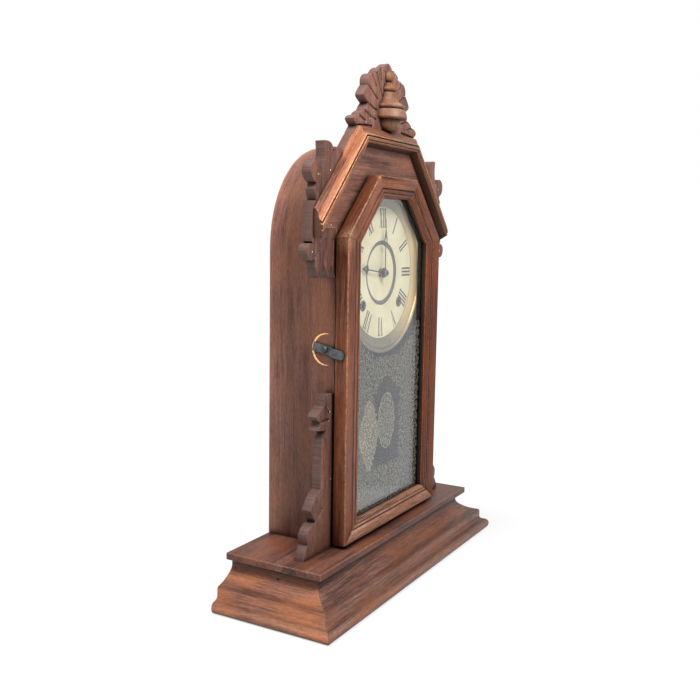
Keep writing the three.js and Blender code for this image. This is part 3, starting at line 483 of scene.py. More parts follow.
# painted shade: the front run of the base uses the darker front look, a shaded copy of the side runs' look
walnut("baseWalnutX", "front", flat, (40, 12, 0), figure=0.7, worn=0.35, porous=0.4, shadow=mouldingShade,
       crisp=0.12, toneAndLightLevel=1.05)
walnut("baseWalnutY", "base", deep, (11, 60, 4), figure=0.7, worn=0.35, porous=0.4, shadow=mouldingShade,
       crisp=0.13, toneAndLightLevel=1.15)
walnut("topWalnut", "top", flat, (9, 31, 77), figure=1.1, worn=0.22, porous=0.4, crisp=0.11, toneAndLightLevel=0.85)
# painted light and shade: the door members are lit and shaded copies of one wood; the left slope is the lightest, the
# bottom rail takes the paler rail look
walnut("doorWalnutUp", "door", shift=(7, 3, 0), porous=0.5, crisp=0.085, rubs=[((-95, -25, 329), 16)],
       worn=0.5, toneAndLightLevel=0.8)
walnut("doorWalnutRed", "redDoor", shift=(27, 3, 10), porous=0.5)
walnut("doorWalnutPale", "rail", flat, (2, 8, 50), porous=0.7, crisp=0.09, toneAndLightLevel=0.9)
walnut("doorWalnutAcross", "door", flat, (2, 8, 50), porous=0.5, crisp=0.10, toneAndLightLevel=0.82)
walnut("doorWalnutLeft", "door", (0, -45, 0), (15, 3, 20), porous=0.5, crisp=0.085,
       rubs=[((-95, -25, 331), 16), ((-39, -25, 386), 6)], worn=0.65)
walnut("doorWalnutRight", "door", (0, 45, 0), (35, 3, 60), porous=0.5, crisp=0.10, toneAndLightLevel=0.8)
# painted light and shade: the left slope is a lit copy of the roof wood, the right slope and top run shaded copies
walnut("roofWalnutLeftLit", "roof", (0, -43.5, 0), (5, 41, 10), porous=0.45, crisp=0.12,
       rubs=[((-129, -12, 214), 12)], toneAndLightLevel=1.3)
walnut("roofWalnutRightShaded", "roof", (0, 43.5, 0), (65, 11, 40), porous=0.35, crisp=0.10, toneAndLightLevel=0.72)
walnut("roofWalnutAcrossShaded", "roof", flat, (25, 5, 14), porous=0.35, crisp=0.10, toneAndLightLevel=0.78)
# painted light and shade: the ears, crest and head board are lit copies of the ornament wood, the brackets less lit
walnut("earWalnut", "ornament", shift=(3, 3, 30), porous=0.5, worn=0.9, crisp=0.10, toneAndLightLevel=1.5)
walnut("bracketWalnut", "ornament", shift=(13, 3, 50), crisp=0.10, toneAndLightLevel=1.25)
walnut("crestWalnut", "ornament", shift=(3, 3, 30), worn=1.0, crisp=0.10, toneAndLightLevel=2.1)
walnut("headWalnut", "ornament", flat, (12, 4, 22), porous=0.4, toneAndLightLevel=2.3)
walnut("turnedWalnut", "turned", shift=(9, 9, 2), porous=0.3, toneAndLightLevel=0.72)
walnut("insideWalnutShaded", "inside", shift=(2, 2, 2))
walnut("blackRebate", "inside", shift=(6, 2, 2))
metal("movementBrass", (0.62, 0.44, 0.17), (0.30, 0.20, 0.09), 0.34, (1.5, 12))
metal("wheelBrass", (0.70, 0.50, 0.20), (0.36, 0.25, 0.11), 0.30, (0.8, 0.8))
metal("bobBrass", (0.60, 0.54, 0.38), (0.34, 0.30, 0.20), 0.42, (1.1, 1.1), stain=0.6)
metal("bobPale", (0.88, 0.78, 0.55), (0.55, 0.47, 0.30), 0.36, (0.8, 0.8))
metal("hingeBrass", (0.42, 0.33, 0.18), (0.16, 0.12, 0.07), 0.46, (1.2, 3))
metal("bezelBrass", (0.30, 0.26, 0.20), (0.20, 0.17, 0.12), 0.38, (0.7, 30), deep, uv=True,
      giltAndReflection=(0.95, 0.68, 0.30), metallic=0.55)
metal("grommetBrass", (0.24, 0.22, 0.19), (0.08, 0.07, 0.06), 0.40, (0.6, 0.6), stain=0.6)
metal("latchIron", (0.13, 0.14, 0.15), (0.05, 0.05, 0.05), 0.55, (1.4, 2.4), stain=0.8, bump=0.5)
metal("gongIron", (0.10, 0.11, 0.13), (0.05, 0.04, 0.04), 0.50, (1.4, 1.4), stain=0.8)
metal("darkSteel", (0.050, 0.052, 0.058), (0.025, 0.022, 0.020), 0.5, (0.9, 3), stain=0.6)
metal("springSteel", (0.30, 0.31, 0.33), (0.14, 0.12, 0.10), 0.36, (0.9, 6))
metal("handSteel", (0.11, 0.13, 0.16), (0.06, 0.06, 0.07), 0.42, (1.0, 1.0))
metal("nutSteel", (0.34, 0.38, 0.42), (0.16, 0.17, 0.19), 0.34, (1.0, 1.0))
metal("nailSteel", (0.62, 0.60, 0.56), (0.30, 0.28, 0.26), 0.35, (0.5, 0.5), stain=0.4)
paperFace()
printedInk("numeralInk", (0.045, 0.050, 0.056))
printedInk("ringInk", (0.125, 0.112, 0.098))
printedInk("stencilInk", (0.165, 0.150, 0.120))
printedInk("medallionInk", (0.230, 0.215, 0.170))
printedInk("rawWood", (0.62, 0.33, 0.13))
printedInk("blackHole", (0.008, 0.007, 0.006))
doorGlass()


def mouldingRun(profile, endA, endB, depth, trims=(0.15, 0.15)):
    # bar between two cut ends, each an outer and an inner point;
    # the profile is (share of the way in, distance along the depth direction)
    bm = bmesh.new()
    along, depth = (Vector(endB[0]) - Vector(endA[0])).normalized(), Vector(depth)
    skinned(bm, [
        [bm.verts.new((Vector(outer).lerp(Vector(inner), u) + depth * d + along * shift) * mm) for u, d in profile]
        for (outer, inner), shift in ((endA, trims[0]), (endB, -trims[1]))])
    return outward(bm)


print("base")
baseSet = {"halfWidth": 178.0, "front": -60.4, "back": 60.4, "neckInner": 46.0}
baseCurve = outlinePoints([
    (3.5, 0), (0.2, 0.8, 0, 5.2), (0.2, 9.6, 4, 10.5), (8.2, 11.4, 8.5, 14.2), (8.6, 20.6),
    (8.8, 22.2, 10.5, 22.6), (20.5, 25.2, 27.5, 31.6), (30, 34, 30, 37), (30, 42.6), (46, 42.6), (46, 0),
], 7)
baseShares = [(inset / baseSet["neckInner"], z) for inset, z in baseCurve]


def baseEnd(side, mitred):
    # outer and inner point of a front corner, or of the square end at the back
    return [(side * (baseSet["halfWidth"] - inset),
             baseSet["front"] + inset if mitred else baseSet["back"] + 0.15, 0)
            for inset in (0, baseSet["neckInner"])]


for name, ends, material in (
    ("Front", (baseEnd(-1, True), baseEnd(1, True)), "baseWalnutX"),
    ("Left", (baseEnd(-1, False), baseEnd(-1, True)), "baseWalnutY"),
    ("Right", (baseEnd(1, True), baseEnd(1, False)), "baseWalnutY"),
):
    bm = mouldingRun(baseShares, *ends, upright)
    # the foot bead is the part that rubs
    markFaces(bm, "wear", lambda f: 0.2 < f.normal.z < 0.93 and f.calc_center_median().z < 11 * mm, 0.35)
    addPiece("base" + name, easeEdges(bm, 0.35), material, "case",
             ["base_" + name.lower() + "_moulding"])

bm = easeEdges(copyOfNode("base_back_rail"), 0.6)
addPiece("baseRail", bm, "insideWalnutShaded", "case", ["base_back_rail"])

boardSet = {"low": (-156.1, -38.2, 42.9), "high": (156.1, 60.4, 49.2)}
bm = blockFrom(boardSet["low"], boardSet["high"])
bm = easeEdges(bm, 0.9, 4, only=lambda e: min(v.co.y for v in e.verts) < 60 * mm)
addPiece("topBoard", bm, "topWalnut", "case", ["base_top_board"])

print("case")
hoopSet = {"halfWidth": 91.25, "wall": 8.0, "spring": 319.0, "rise": 97.0, "foot": 49.5, "steps": 96,
           "front": -0.5, "back": 60.4, "cheekHigh": 295.7, "cheekDeep": 9.6, "bendRadius": 94.0}
backSet = {"front": 53, "back": 59.4, "gap": 0.3}


def archLine(inset):
    half, rise = hoopSet["halfWidth"] - inset, hoopSet["rise"] - inset
    line = [(half, hoopSet["foot"])]
    for i in range(hoopSet["steps"] + 1):
        a = math.pi * i / hoopSet["steps"]
        line.append((half * math.cos(a), hoopSet["spring"] + rise * math.sin(a)))
    return line + [(-half, hoopSet["foot"])]


def hoopShell():
    k = hoopSet
    bm = boardFrom(archLine(0) + archLine(k["wall"])[::-1], k["front"], k["back"])
    # the side walls run forward under the head board
    high = k["cheekHigh"] * mm
    bmesh.ops.bisect_plane(bm, geom=bm.verts[:] + bm.edges[:] + bm.faces[:],
                           plane_co=(0, 0, high), plane_no=upright)
    bm.normal_update()
    front = [f for f in bm.faces if f.normal.y < -0.9 and f.calc_center_median().z < high]
    thickened(bm, front, (0, -k["cheekDeep"], 0))
    bmesh.ops.delete(bm, geom=[f for f in front if f.is_valid], context="FACES")
    bmesh.ops.remove_doubles(bm, verts=bm.verts, dist=0.001 * mm)
    return outward(bm)


def wrapHoop(bm):
    # UV in millimetres: depth of the case, then the length along the bend
    layer = bm.loops.layers.uv.new("wrap")
    spring, radius = hoopSet["spring"], hoopSet["bendRadius"]
    for face in bm.faces:
        for loop in face.loops:
            x, y, z = (v / mm for v in loop.vert.co)
            if z > spring:
                run = spring + radius * math.atan2(z - spring, x)
            else:
                run = z if x > 0 else 2 * spring + radius * math.pi - z
            loop[layer].uv = (y + 0.35 * math.hypot(x, max(z - spring, 0)), run)
    return bm


bm = wrapHoop(easeEdges(hoopShell(), 0.5, sharp=50))
addPiece("caseHoop", bm, "caseWalnut", "case", ["case_hoop"])
bm = easeEdges(boardFrom(archLine(hoopSet["wall"] + backSet["gap"]), backSet["front"], backSet["back"]), 0.4)
addPiece("backBoard", bm, "insideWalnutShaded", "case", ["back_board"])

print("ornament")
sawnSet = {"front": -10.1, "back": -0.8, "grooveHalf": 1.44, "grooveDeep": 1.2, "grooveOver": 0.4}
earPoints = [
    (-76.4, 397.7), (-81.8, 403.1), (-85, 406.4, -89.9, 406.6), (-98.3, 406.3), (-101, 410.2, -106.8, 410.4),
    (-112.2, 410.3), (-111.3, 401), (-111.4, 392, -115.2, 386.6), (-118, 392.6, -124.6, 392.6),
    (-132.6, 391.4, -132.9, 383.8), (-132.2, 377, -124, 374.4), (-124.9, 371.6), (-127.6, 369.2),
    (-125.6, 364.6, -124.2, 359.6), (-129.6, 359.4), (-130.9, 340, -130.7, 325.6), (-127.6, 322.8),
    (-129.4, 324.4, -132.4, 323.8), (-138.2, 322.4, -138.4, 317.4), (-137.6, 310.6, -131.4, 309.5),
    (-127.4, 309.6, -125.8, 312.4), (-125.4, 303, -119.7, 294.2), (-116, 301, -110.7, 305),
    (-106.4, 300.6, -103.6, 293.8), (-101, 301, -98.8, 304.4), (-95.6, 301, -91.6, 293.8),
    (-91.6, 336.7), (-112, 336.7), (-119.4, 352.6),
]
bracketPoints = [
    (-91.6, 49.5), (-91.6, 190.9), (-105.3, 190.9), (-105.4, 186, -107, 182), (-109.4, 181.4),
    (-118.4, 176.6), (-120.6, 173.8), (-118.6, 170.4, -113.4, 168.4), (-113.6, 166.8), (-118.2, 161.4),
    (-104.8, 159.2), (-107, 154.6, -111.8, 151.2), (-111.8, 107.6), (-119, 104.6, -123.6, 98.4),
    (-126.8, 94.6, -127.8, 91.2), (-124, 86.6, -120, 79.8), (-127.6, 79.6, -132.2, 74),
    (-135.8, 70, -132.3, 62), (-137, 57.4, -139, 49.5),
]
crestHalf = [
    (4.6, 491.6, 8.6, 487.2), (15.6, 487.2, 20.4, 482.6), (23.4, 479.4), (31.6, 479.2, 35.4, 475.8),
    (38.8, 472, 37.2, 467.4), (42, 464, 45.4, 458.8), (46.4, 457, 44, 455.4), (37, 451.4),
    (41.4, 447.8, 43.4, 444.2), (49.6, 442.6, 53.6, 438.6), (60.4, 438.4, 63.6, 434.6),
    (62.8, 432.8, 61, 431.4), (57.2, 429), (64, 421.6),
]
earGrooves = [
    [(-116.1, 329.3), (-121.6, 315.8), (-125.5, 311.3)], [(-107.5, 327.8), (-107.9, 319.1), (-110.9, 305.4)],
    [(-96, 327.5), (-96.6, 312.2), (-98.7, 304.8)], [(-96.7, 403.5), (-102.1, 386.2)],
]
bracketGrooves = [
    [(-105.9, 181.4), (-98.6, 174.7)], [(-113.4, 168.5), (-100.1, 168.5)], [(-119.4, 80.6), (-108.6, 89.4)],
]
crestVeins = [
    [(8.6, 487.0), (5.5, 470), (3.4, 456)], [(22, 480.6), (15.5, 469), (9, 461)],
    [(37.0, 467.2), (26, 460.6), (19.5, 457.6)], [(36.8, 451.4), (28, 448.5), (20.5, 447)],
    [(43.2, 444), (33, 440.5), (22, 438.5)], [(57, 429.2), (44, 430.4), (30, 431.2)],
    [(15.5, 486.4), (11.5, 476)], [(30.5, 478.6), (22.4, 468.5)], [(53, 438.4), (42.5, 435.2)],
]


def grooveCutter(lines, size):
    # V-shaped cutters along lines on the front of a sawn piece
    bm = bmesh.new()
    front, deep = sawnSet["front"], size * sawnSet["grooveDeep"]
    for line in lines:
        for a, b in zip(line, line[1:]):
            a, b = (Vector((x, 0, z)) for x, z in (a, b))
            run = (b - a).normalized()
            side, over = Vector((-run.z, 0, run.x)) * size * sawnSet["grooveHalf"], run * sawnSet["grooveOver"]
            skinned(bm, [[bm.verts.new((place + side * s + Vector((0, y, 0))) * mm)
                          for s, y in ((-1, front - 0.5), (1, front - 0.5), (0, front + deep))]
                         for place in (a - over, b + over)])
    return outward(bm)


def addSawn(name, points, grooves, material, node, size):
    bm = boardFrom(outlinePoints(points, 9), sawnSet["front"], sawnSet["back"])
    bm = carved(bm, grooveCutter(grooves, size))
    markFaces(bm, "sawn", lambda f: abs(f.normal.y) < 0.3 and f.calc_area() > 1e-7)
    bm = easeEdges(bm, 0.3, sharp=35, only=lambda e: abs((e.verts[0].co - e.verts[1].co).normalized().y) < 0.5)
    addPiece(name, bm, material, "case", [node])


for word in ("Left", "Right"):
    for name, points, grooves in (("ear", earPoints, earGrooves), ("bracket", bracketPoints, bracketGrooves)):
        if word == "Right":
            points, grooves = mirroredPoints(points), [mirroredPoints(line) for line in grooves]
        addSawn(name + word, points, grooves, name + "Walnut", name + "_" + word.lower(), 1.4)

down = [(0, 492)] + crestHalf
up = []
for i in range(len(crestHalf) - 1, -1, -1):
    p, end = crestHalf[i], down[i][-2:]
    up.append((-p[0], p[1], -end[0], end[1]) if len(p) == 4 else (-end[0], end[1]))
veins = crestVeins + [mirroredPoints(line) for line in crestVeins] + [[(0, 491), (0, 486)]]
addSawn("crest", down + [(-64, 421.6)] + up[:-1], veins, "crestWalnut", "crest_board", 1.25)

bm = easeEdges(copyOfNode("head_board"), 0.3, sharp=40)
# painted shade: the head board's upward faces darkened, while its high level lights up its shaded front
markFaces(bm, "soot", lambda f: f.normal.z > 0.3, 0.55)
addPiece("headBoard", bm, "headWalnut", "case", ["head_board"])

print("roof")
roofSet = {"rise": math.radians(46.5), "outer": 336.5, "top": 429.0, "width": 17.3, "endX": 128.8, "y": -10.4}
roofCurve = outlinePoints([
    (0, 0), (0.2, 3.0, 2.2, 4.3), (4.8, 5.2), (6.6, 5.7, 7.1, 8.0), (7.6, 8.35), (8.2, 8.3), (8.5, 6.9),
    (9.2, 7.0), (9.5, 9.1), (9.9, 9.35), (12.0, 9.5), (12.2, 8.3), (12.9, 8.3), (13.1, 9.2), (13.6, 9.0),
    (14.4, 7.2), (17.3, 0),
], 6)
roofShares = [(w / roofSet["width"], d) for w, d in roofCurve]
slopeSin, slopeCos = math.sin(roofSet["rise"]), math.cos(roofSet["rise"])


def roofEnd(side, mitred):
    # outer and inner point of a mitre at the top, or of a plumb end
    ends = []
    for inset in (0, roofSet["width"]):
        reach = roofSet["outer"] - inset
        if mitred:
            z = roofSet["top"] - inset
            x = (reach - slopeCos * z) / slopeSin
        else:
            x = roofSet["endX"]
            z = (reach - slopeSin * x) / slopeCos
        ends.append((side * x, roofSet["y"], z))
    return ends


def isInnerWall(face):
    middle = Vector((0, 0, 300 * mm)) - face.calc_center_median()
    return face.normal.dot(middle.normalized()) > 0.55 and face.calc_area() > 4e-4


for name, ends, material in (
    ("Left", (roofEnd(-1, False), roofEnd(-1, True)), "roofWalnutLeftLit"),
    ("Top", (roofEnd(-1, True), roofEnd(1, True)), "roofWalnutAcrossShaded"),
    ("Right", (roofEnd(1, True), roofEnd(1, False)), "roofWalnutRightShaded"),
):
    bm = mouldingRun(roofShares, *ends, (0, -1, 0))
    # the plumb ends darkened
    markFaces(bm, "soot", lambda f: abs(f.normal.x) > 0.995, 0.8)
    if name == "Left":
        markFaces(bm, "wear", lambda f: f.calc_area() > 3e-4 and -15 < f.calc_center_median().y / mm < -12.6, 0.45)
    else:
        # the inner walls of the top and right runs darkened
        markFaces(bm, "soot", isInnerWall, 0.72)
    addPiece("roof" + name, easeEdges(bm, 0.22), material, "case",
             ["roof_moulding_" + name.lower()])

turningCurve = outlinePoints([
    (0, 429.4), (6.0, 429.4), (12.4, 430.6, 13.0, 436.2), (13.2, 438.6, 12.6, 440.2), (18.4, 440.9),
    (19, 441.9), (18.4, 445.4), (16.8, 448.9), (15.2, 449.3), (15.4, 449.9), (17.2, 450.9, 16.6, 452.8),
    (15.9, 453.5, 13.6, 454.3), (9.6, 457.4, 8.6, 462), (8.2, 464.6, 7.0, 466), (8.4, 466.6),
    (9.4, 468.0, 8.4, 469.7), (5.8, 470.9, 4.2, 473.4), (3.0, 475.0), (5.6, 475.9, 5.5, 479.0),
    (5.3, 482.6, 3.0, 484.2), (1.4, 484.8, 0, 484.8),
], 6)
bm = spunFrom(turningCurve, (0, sawnSet["front"], 0), upright, across, 72)
bmesh.ops.bisect_plane(bm, geom=bm.verts[:] + bm.edges[:] + bm.faces[:], plane_no=backward,
                       plane_co=(0, (sawnSet["front"] - 0.3) * mm, 0), clear_outer=True)
bmesh.ops.holes_fill(bm, edges=[e for e in bm.edges if e.is_boundary])
markFaces(outward(bm), "wear", lambda f: f.calc_center_median().y < -22 * mm, 0.4)
addPiece("crestTurning", bm, "turnedWalnut", "case", ["crest_turning"], 40)

print("door")
doorSet = {"front": -25.5, "outer": (95.1, 52.2, 329.6, 385.9, 39.0), "inner": (69.0, 71.0, 324.4, 366.5, 28.0)}
doorCurve = outlinePoints([
    (0, 12.5), (0, 0.7), (0.026, 0.0), (0.20, -0.06, 0.44, 0.3), (0.52, 0.5, 0.555, 1.1), (0.575, 2.1),
    (0.595, 2.1), (0.605, 1.4, 0.63, 1.2), (0.69, 0.8, 0.75, 1.0), (0.775, 1.7), (0.79, 1.7),
    (0.80, 0.9, 0.86, 1.0), (0.95, 1.3, 1, 2.8), (1, 5.2), (1, 7.3), (0.79, 7.3), (0.79, 12.5),
], 5)
doorParts = (
    ("doorBottom", "door_bottom_rail", "doorWalnutPale"), ("doorRight", "door_right_stile", "doorWalnutRed"),
    ("doorSlopeRight", "door_right_slope", "doorWalnutRight"), ("doorTop", "door_top_rail", "doorWalnutAcross"),
    ("doorSlopeLeft", "door_left_slope", "doorWalnutLeft"), ("doorLeft", "door_left_stile", "doorWalnutUp"),
)


def doorCorners(share):
    w, low, shoulder, high, top = (o + (i - o) * share for o, i in zip(doorSet["outer"], doorSet["inner"]))
    return [(-w, low), (w, low), (w, shoulder), (top, high), (-top, high), (-w, shoulder)]


def doorMember(i):
    outer, inner = ([Vector((x, doorSet["front"], z)) for x, z in doorCorners(share)] for share in (0, 1))
    n = (i + 1) % 6
    # the mitre at the lower right has opened
    trims = {0: (0.15, 0.55), 1: (0.6, 0.15)}.get(i, (0.15, 0.15))
    bm = mouldingRun(doorCurve, (outer[i], inner[i]), (outer[n], inner[n]), backward, trims)
    side = (outer[n] - outer[i]).normalized().cross(Vector(backward))

    def soot(value, test):
        # darkens the faces that pass, partly stain, partly painted shade; the test gets a face's normal and its middle
        # in millimetres
        markFaces(bm, "soot", lambda f: test(f.normal, f.calc_center_median() / mm), value)

    def inGroove(low, high):
        return lambda normal, spot: normal.y < -0.05 and low < (
            abs((spot - outer[i]).dot(side)) / abs((inner[i] - outer[i]).dot(side))) < high

    centre = Vector((0, 0, 220))
    # blackened rebate walls facing the middle: partly black stain, partly painted shade
    soot(1.0, lambda normal, spot: spot.y > -20.4 and normal.dot((centre - spot).normalized()) > 0.25)
    if i > 3:
        # painted shade: the outer side faces of the left stile and slope darkened
        soot(0.3, lambda normal, spot: normal.x < -0.5 and abs(normal.y) < 0.1 and spot.x < -60)
    markFaces(bm, "wear", lambda f: f.calc_center_median().y < -24.9 * mm and -0.9 < f.normal.y < -0.3, 0.3)
    if i == 1:
        # painted shade: the inner wall of the right stile darkened
        soot(0.62, lambda normal, spot: normal.x < -0.9 and -23.0 < spot.y < -20.4)
    # painted shade and grime in the two grooves, lighter on the bottom rail
    soot(0.78 if i else 0.45, inGroove(0.558, 0.62))
    soot(0.7 if i else 0.3, inGroove(0.762, 0.815))
    return easeEdges(bm, 0.3, sharp=30)


for i, (name, node, material) in enumerate(doorParts):
    addPiece(name, doorMember(i), material, "door", [node])

glassSet = {"share": 0.83, "front": -17.9, "back": -16.1}
bm = boardFrom(doorCorners(glassSet["share"]), glassSet["front"], glassSet["back"])
bmesh.ops.bevel(bm, geom=bm.edges[:], offset=0.15 * mm, segments=1, profile=0.5, affect="EDGES", material=-1)
addPiece("glassPane", bm, "doorGlass", "door", ["door_glass"])
# the glass beads blackened all over: partly black stain, partly painted shade
bm = markFaces(copyOfNode("glass_retainer"), "soot", lambda f: True)
addPiece("glassBeads", easeEdges(bm, 0.3), "blackRebate", "door", ["glass_retainer"])

print("stencil")
dialSet = {"z": 295.85, "front": -7.6, "back": -7.0, "step": 1.2, "stepR": 31.1, "plateR": 70.4,
           "windX": 36.8, "windZ": 265.9}
stencilSet = {
    "back": -16.08, "thick": 0.05, "cell": 5.7, "low": 71.0, "high": 250, "halfWidth": 72, "bezelR": 82.0,
    "clearHalf": 27.0, "clearLow": 107.0, "clearShoulder": 178.0, "clearHigh": 197.0,
}
medallionSet = {"z": 151.5, "half": 16.5, "rise": 27.5, "cell": 4.3}


def turnedLine(points, turn, x, z, flip):
    c, s = math.cos(turn), math.sin(turn)
    return [(x + u * flip * c - v * s, z + u * flip * s + v * c) for u, v in points]


def arcLine(radius, degrees):
    return [(radius * math.cos(math.radians(a)), radius * math.sin(math.radians(a))) for a in degrees]


def scrollLine(size):
    # centre line of an S-shaped scroll with curled ends
    half = []
    for i in range(6):
        a = math.radians(-90 + 50 * i)
        r = size * (0.27 - 0.022 * i)
        half.append((r * math.cos(a) * 1.05, size * 0.25 + r * math.sin(a)))
    return [(-u, -v) for u, v in reversed(half)] + half


def ribbonsFrom(lines, width, back, thick, seed=2, closed=False):
    # thin closed ribbons, a little uneven as ink or chasing is
    bm = bmesh.new()
    draw = random.Random(seed)
    for line in lines:
        front = back - thick - draw.uniform(0, 0.3) * thick
        rows = []
        last = len(line) - 1
        for i, (x, z) in enumerate(line):
            (x0, z0), (x1, z1) = line[max(i - 1, 0)], line[min(i + 1, last)]
            if closed:
                (x0, z0), (x1, z1) = line[i - 1], line[(i + 1) % (last + 1)]
            run = Vector((x1 - x0, z1 - z0)).normalized()
            half = width / 2 * draw.uniform(0.85, 1.15) * (1 if closed else 0.55 + 0.45 * math.sin(math.pi * i / last))
            rows.append([bm.verts.new(((x + s * run.y * half) * mm, y * mm, (z - s * run.x * half) * mm))
                         for s, y in ((1, back), (1, front), (-1, front), (-1, back))])
        skinned(bm, rows, closed)
    return outward(bm)


def scrollField(inside, box, cell, seed):
    # scrolls and commas on a staggered grid wherever the place lies inside
    draw = random.Random(seed)
    x0, z0, x1, z1 = box
    lines = []
    comma = arcLine(cell * 0.8 * 0.22, (-40, 10, 60, 115, 165))
    for row in range(int((z1 - z0) / (cell * 0.86)) + 1):
        for column in range(int((x1 - x0) / cell) + 1):
            x = x0 + (column + 0.5 * (row % 2)) * cell
            z = z0 + row * cell * 0.86
            if not inside(x, z):
                continue
            flip = 1 if (row + column) % 2 else -1
            turn = math.radians(draw.uniform(-22, 22) + (90 if (row // 2 + column) % 3 == 0 else 20 * flip))
            lines.append(turnedLine(scrollLine(cell * 1.12), turn, x, z, flip))
            for k in range(2):
                dx, dz = draw.uniform(-0.5, 0.5) * cell, draw.uniform(-0.5, 0.5) * cell
                lines.append(turnedLine(comma, draw.uniform(0, 6.28), x + dx, z + dz, flip))
    return lines


def medallionWidth(up):
    return medallionSet["half"] * max(0.0, 1 - up ** 2.2) ** 0.6 * (1 + 0.07 * math.cos(up * 15.0))


def inMedallion(x, z):
    up = abs(z - medallionSet["z"]) / medallionSet["rise"]
    return up < 1 and abs(x) < medallionWidth(up)


def inField(x, z):
    k = stencilSet
    if abs(x) > k["halfWidth"] or math.hypot(x, z - dialSet["z"]) < k["bezelR"] or z > k["high"]:
        return False
    bow = 1 - min(abs(x) / k["clearHalf"], 1) ** 1.3
    lid = k["clearShoulder"] + (k["clearHigh"] - k["clearShoulder"]) * bow
    return not (abs(x) < k["clearHalf"] and k["clearLow"] < z < lid)


def printed(lines, width, *more):
    return ribbonsFrom(lines, width, stencilSet["back"], stencilSet["thick"], *more)


lines = scrollField(inField, (-71, stencilSet["low"], 71, stencilSet["high"]), stencilSet["cell"], 11)
addPiece("stencil", printed(lines, 0.95), "stencilInk", "door")
middle, rise = medallionSet["z"], medallionSet["rise"]
lines = scrollField(inMedallion, (-16, middle - rise, 16, middle + rise), medallionSet["cell"], 5)
edge = []
for i in range(60):
    a = 2 * math.pi * (i + 0.5) / 60
    side = 1 if math.cos(a) > 0 else -1
    edge.append((side * medallionWidth(abs(math.sin(a))), middle + rise * math.sin(a)))
bm = joined(printed(lines, 0.7, 3), printed([edge], 1.1, 4, True))
addPiece("medallion", bm, "medallionInk", "door")


def addAsBuilt(node, material, body, width=0.12, sharp=40):
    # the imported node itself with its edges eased
    first, *others = node.split("_")
    bm = easeEdges(copyOfNode(node, 0.1), width, 1, sharp)
    addPiece(first + "".join(w.capitalize() for w in others), bm, material, body, [node], sharp)


print("hinges and latch")
for place in ("lower", "upper"):
    for part, body in (("door_leaf", "door"), ("case_leaf", "case"), ("pin", "case")):
        addAsBuilt("hinge_" + place + "_" + part, "hingeBrass", body)
addAsBuilt("latch_strip", "latchIron", "latch", 0.15)
addAsBuilt("latch_screw", "latchIron", "case", 0.1)

print("dial")
grommetCurve = outlinePoints([
    (3.7, -7.9), (3.7, -8.3), (3.8, -8.75, 4.4, -8.8), (5.0, -8.75, 5.1, -8.2), (5.1, -7.9), (3.7, -7.9)], 4)
# the printed band lies in the corner of the step and runs up its wall
ringCurve = [(27.0, -6.4), (27.0, -6.45), (30.95, -6.45), (30.95, -7.5), (31.0, -7.5), (31.0, -6.4), (27.0, -6.4)]
bezelCurve = outlinePoints([
    (63.4, -7.9), (63.4, -8.3), (64.2, -8.7), (68.6, -10.6, 71.8, -11.4), (72.6, -11.5, 73.2, -11.2),
    (73.6, -11.0), (74.0, -11.9, 75.0, -12.3), (76.0, -12.8, 77.0, -12.4), (77.9, -12.0, 78, -11.2),
    (77.9, -10.6, 77.6, -10.4), (74.2, -10.4), (64.8, -7.9), (63.4, -7.9),
], 5)
nutCurve = outlinePoints([
    (1.5, -12.2), (3, -12.2), (3, -13.2), (2.9, -14.3, 1.6, -14.4), (1.5, -14.3), (1.5, -12.2)], 5)


def spunAt(curve, steps, x=0, z=dialSet["z"]):
    return spunFrom(curve, (x, 0, z), backward, across, steps)


def ringPoints(x, z, radius, steps=48):
    turns = [2 * math.pi * i / steps for i in range(steps)]
    return [(x + radius * math.cos(a), z + radius * math.sin(a)) for a in turns]


def dialDisc():
    # the plate, with its centre set back by a step
    front, back, step, r, outer = (dialSet[k] for k in ("front", "back", "step", "stepR", "plateR"))
    curve = [(0, front + step), (r - 0.25, front + step), (r, front + step - 0.1), (r, front + 0.12),
             (r + 0.12, front), (outer, front), (outer, back), (r + 0.8, back), (r + 0.6, back + step),
             (0, back + step)]
    holes = [(0, dialSet["z"], 4.2)] + [(side * dialSet["windX"], dialSet["windZ"], 4.4) for side in (-1, 1)]
    cutters = joined(*[boardFrom(ringPoints(*hole), front - 1, back + 2) for hole in holes])
    return carved(spunAt(curve, 128), cutters)


addPiece("dialPlate", dialDisc(), "dialPaper", "case", ["dial_plate"])
numeralSet = {"low": 43.5, "high": 61.5, "thick": 1.75, "thin": 0.6, "serif": 0.7, "gap": 0.6075, "width": 6.6}


def barBetween(a, b, width):
    run = Vector((b[0] - a[0], b[1] - a[1])).normalized() * (width / 2)
    return [(a[0] - run.y, a[1] + run.x), (a[0] + run.y, a[1] - run.x),
            (b[0] + run.y, b[1] - run.x), (b[0] - run.y, b[1] + run.x)]


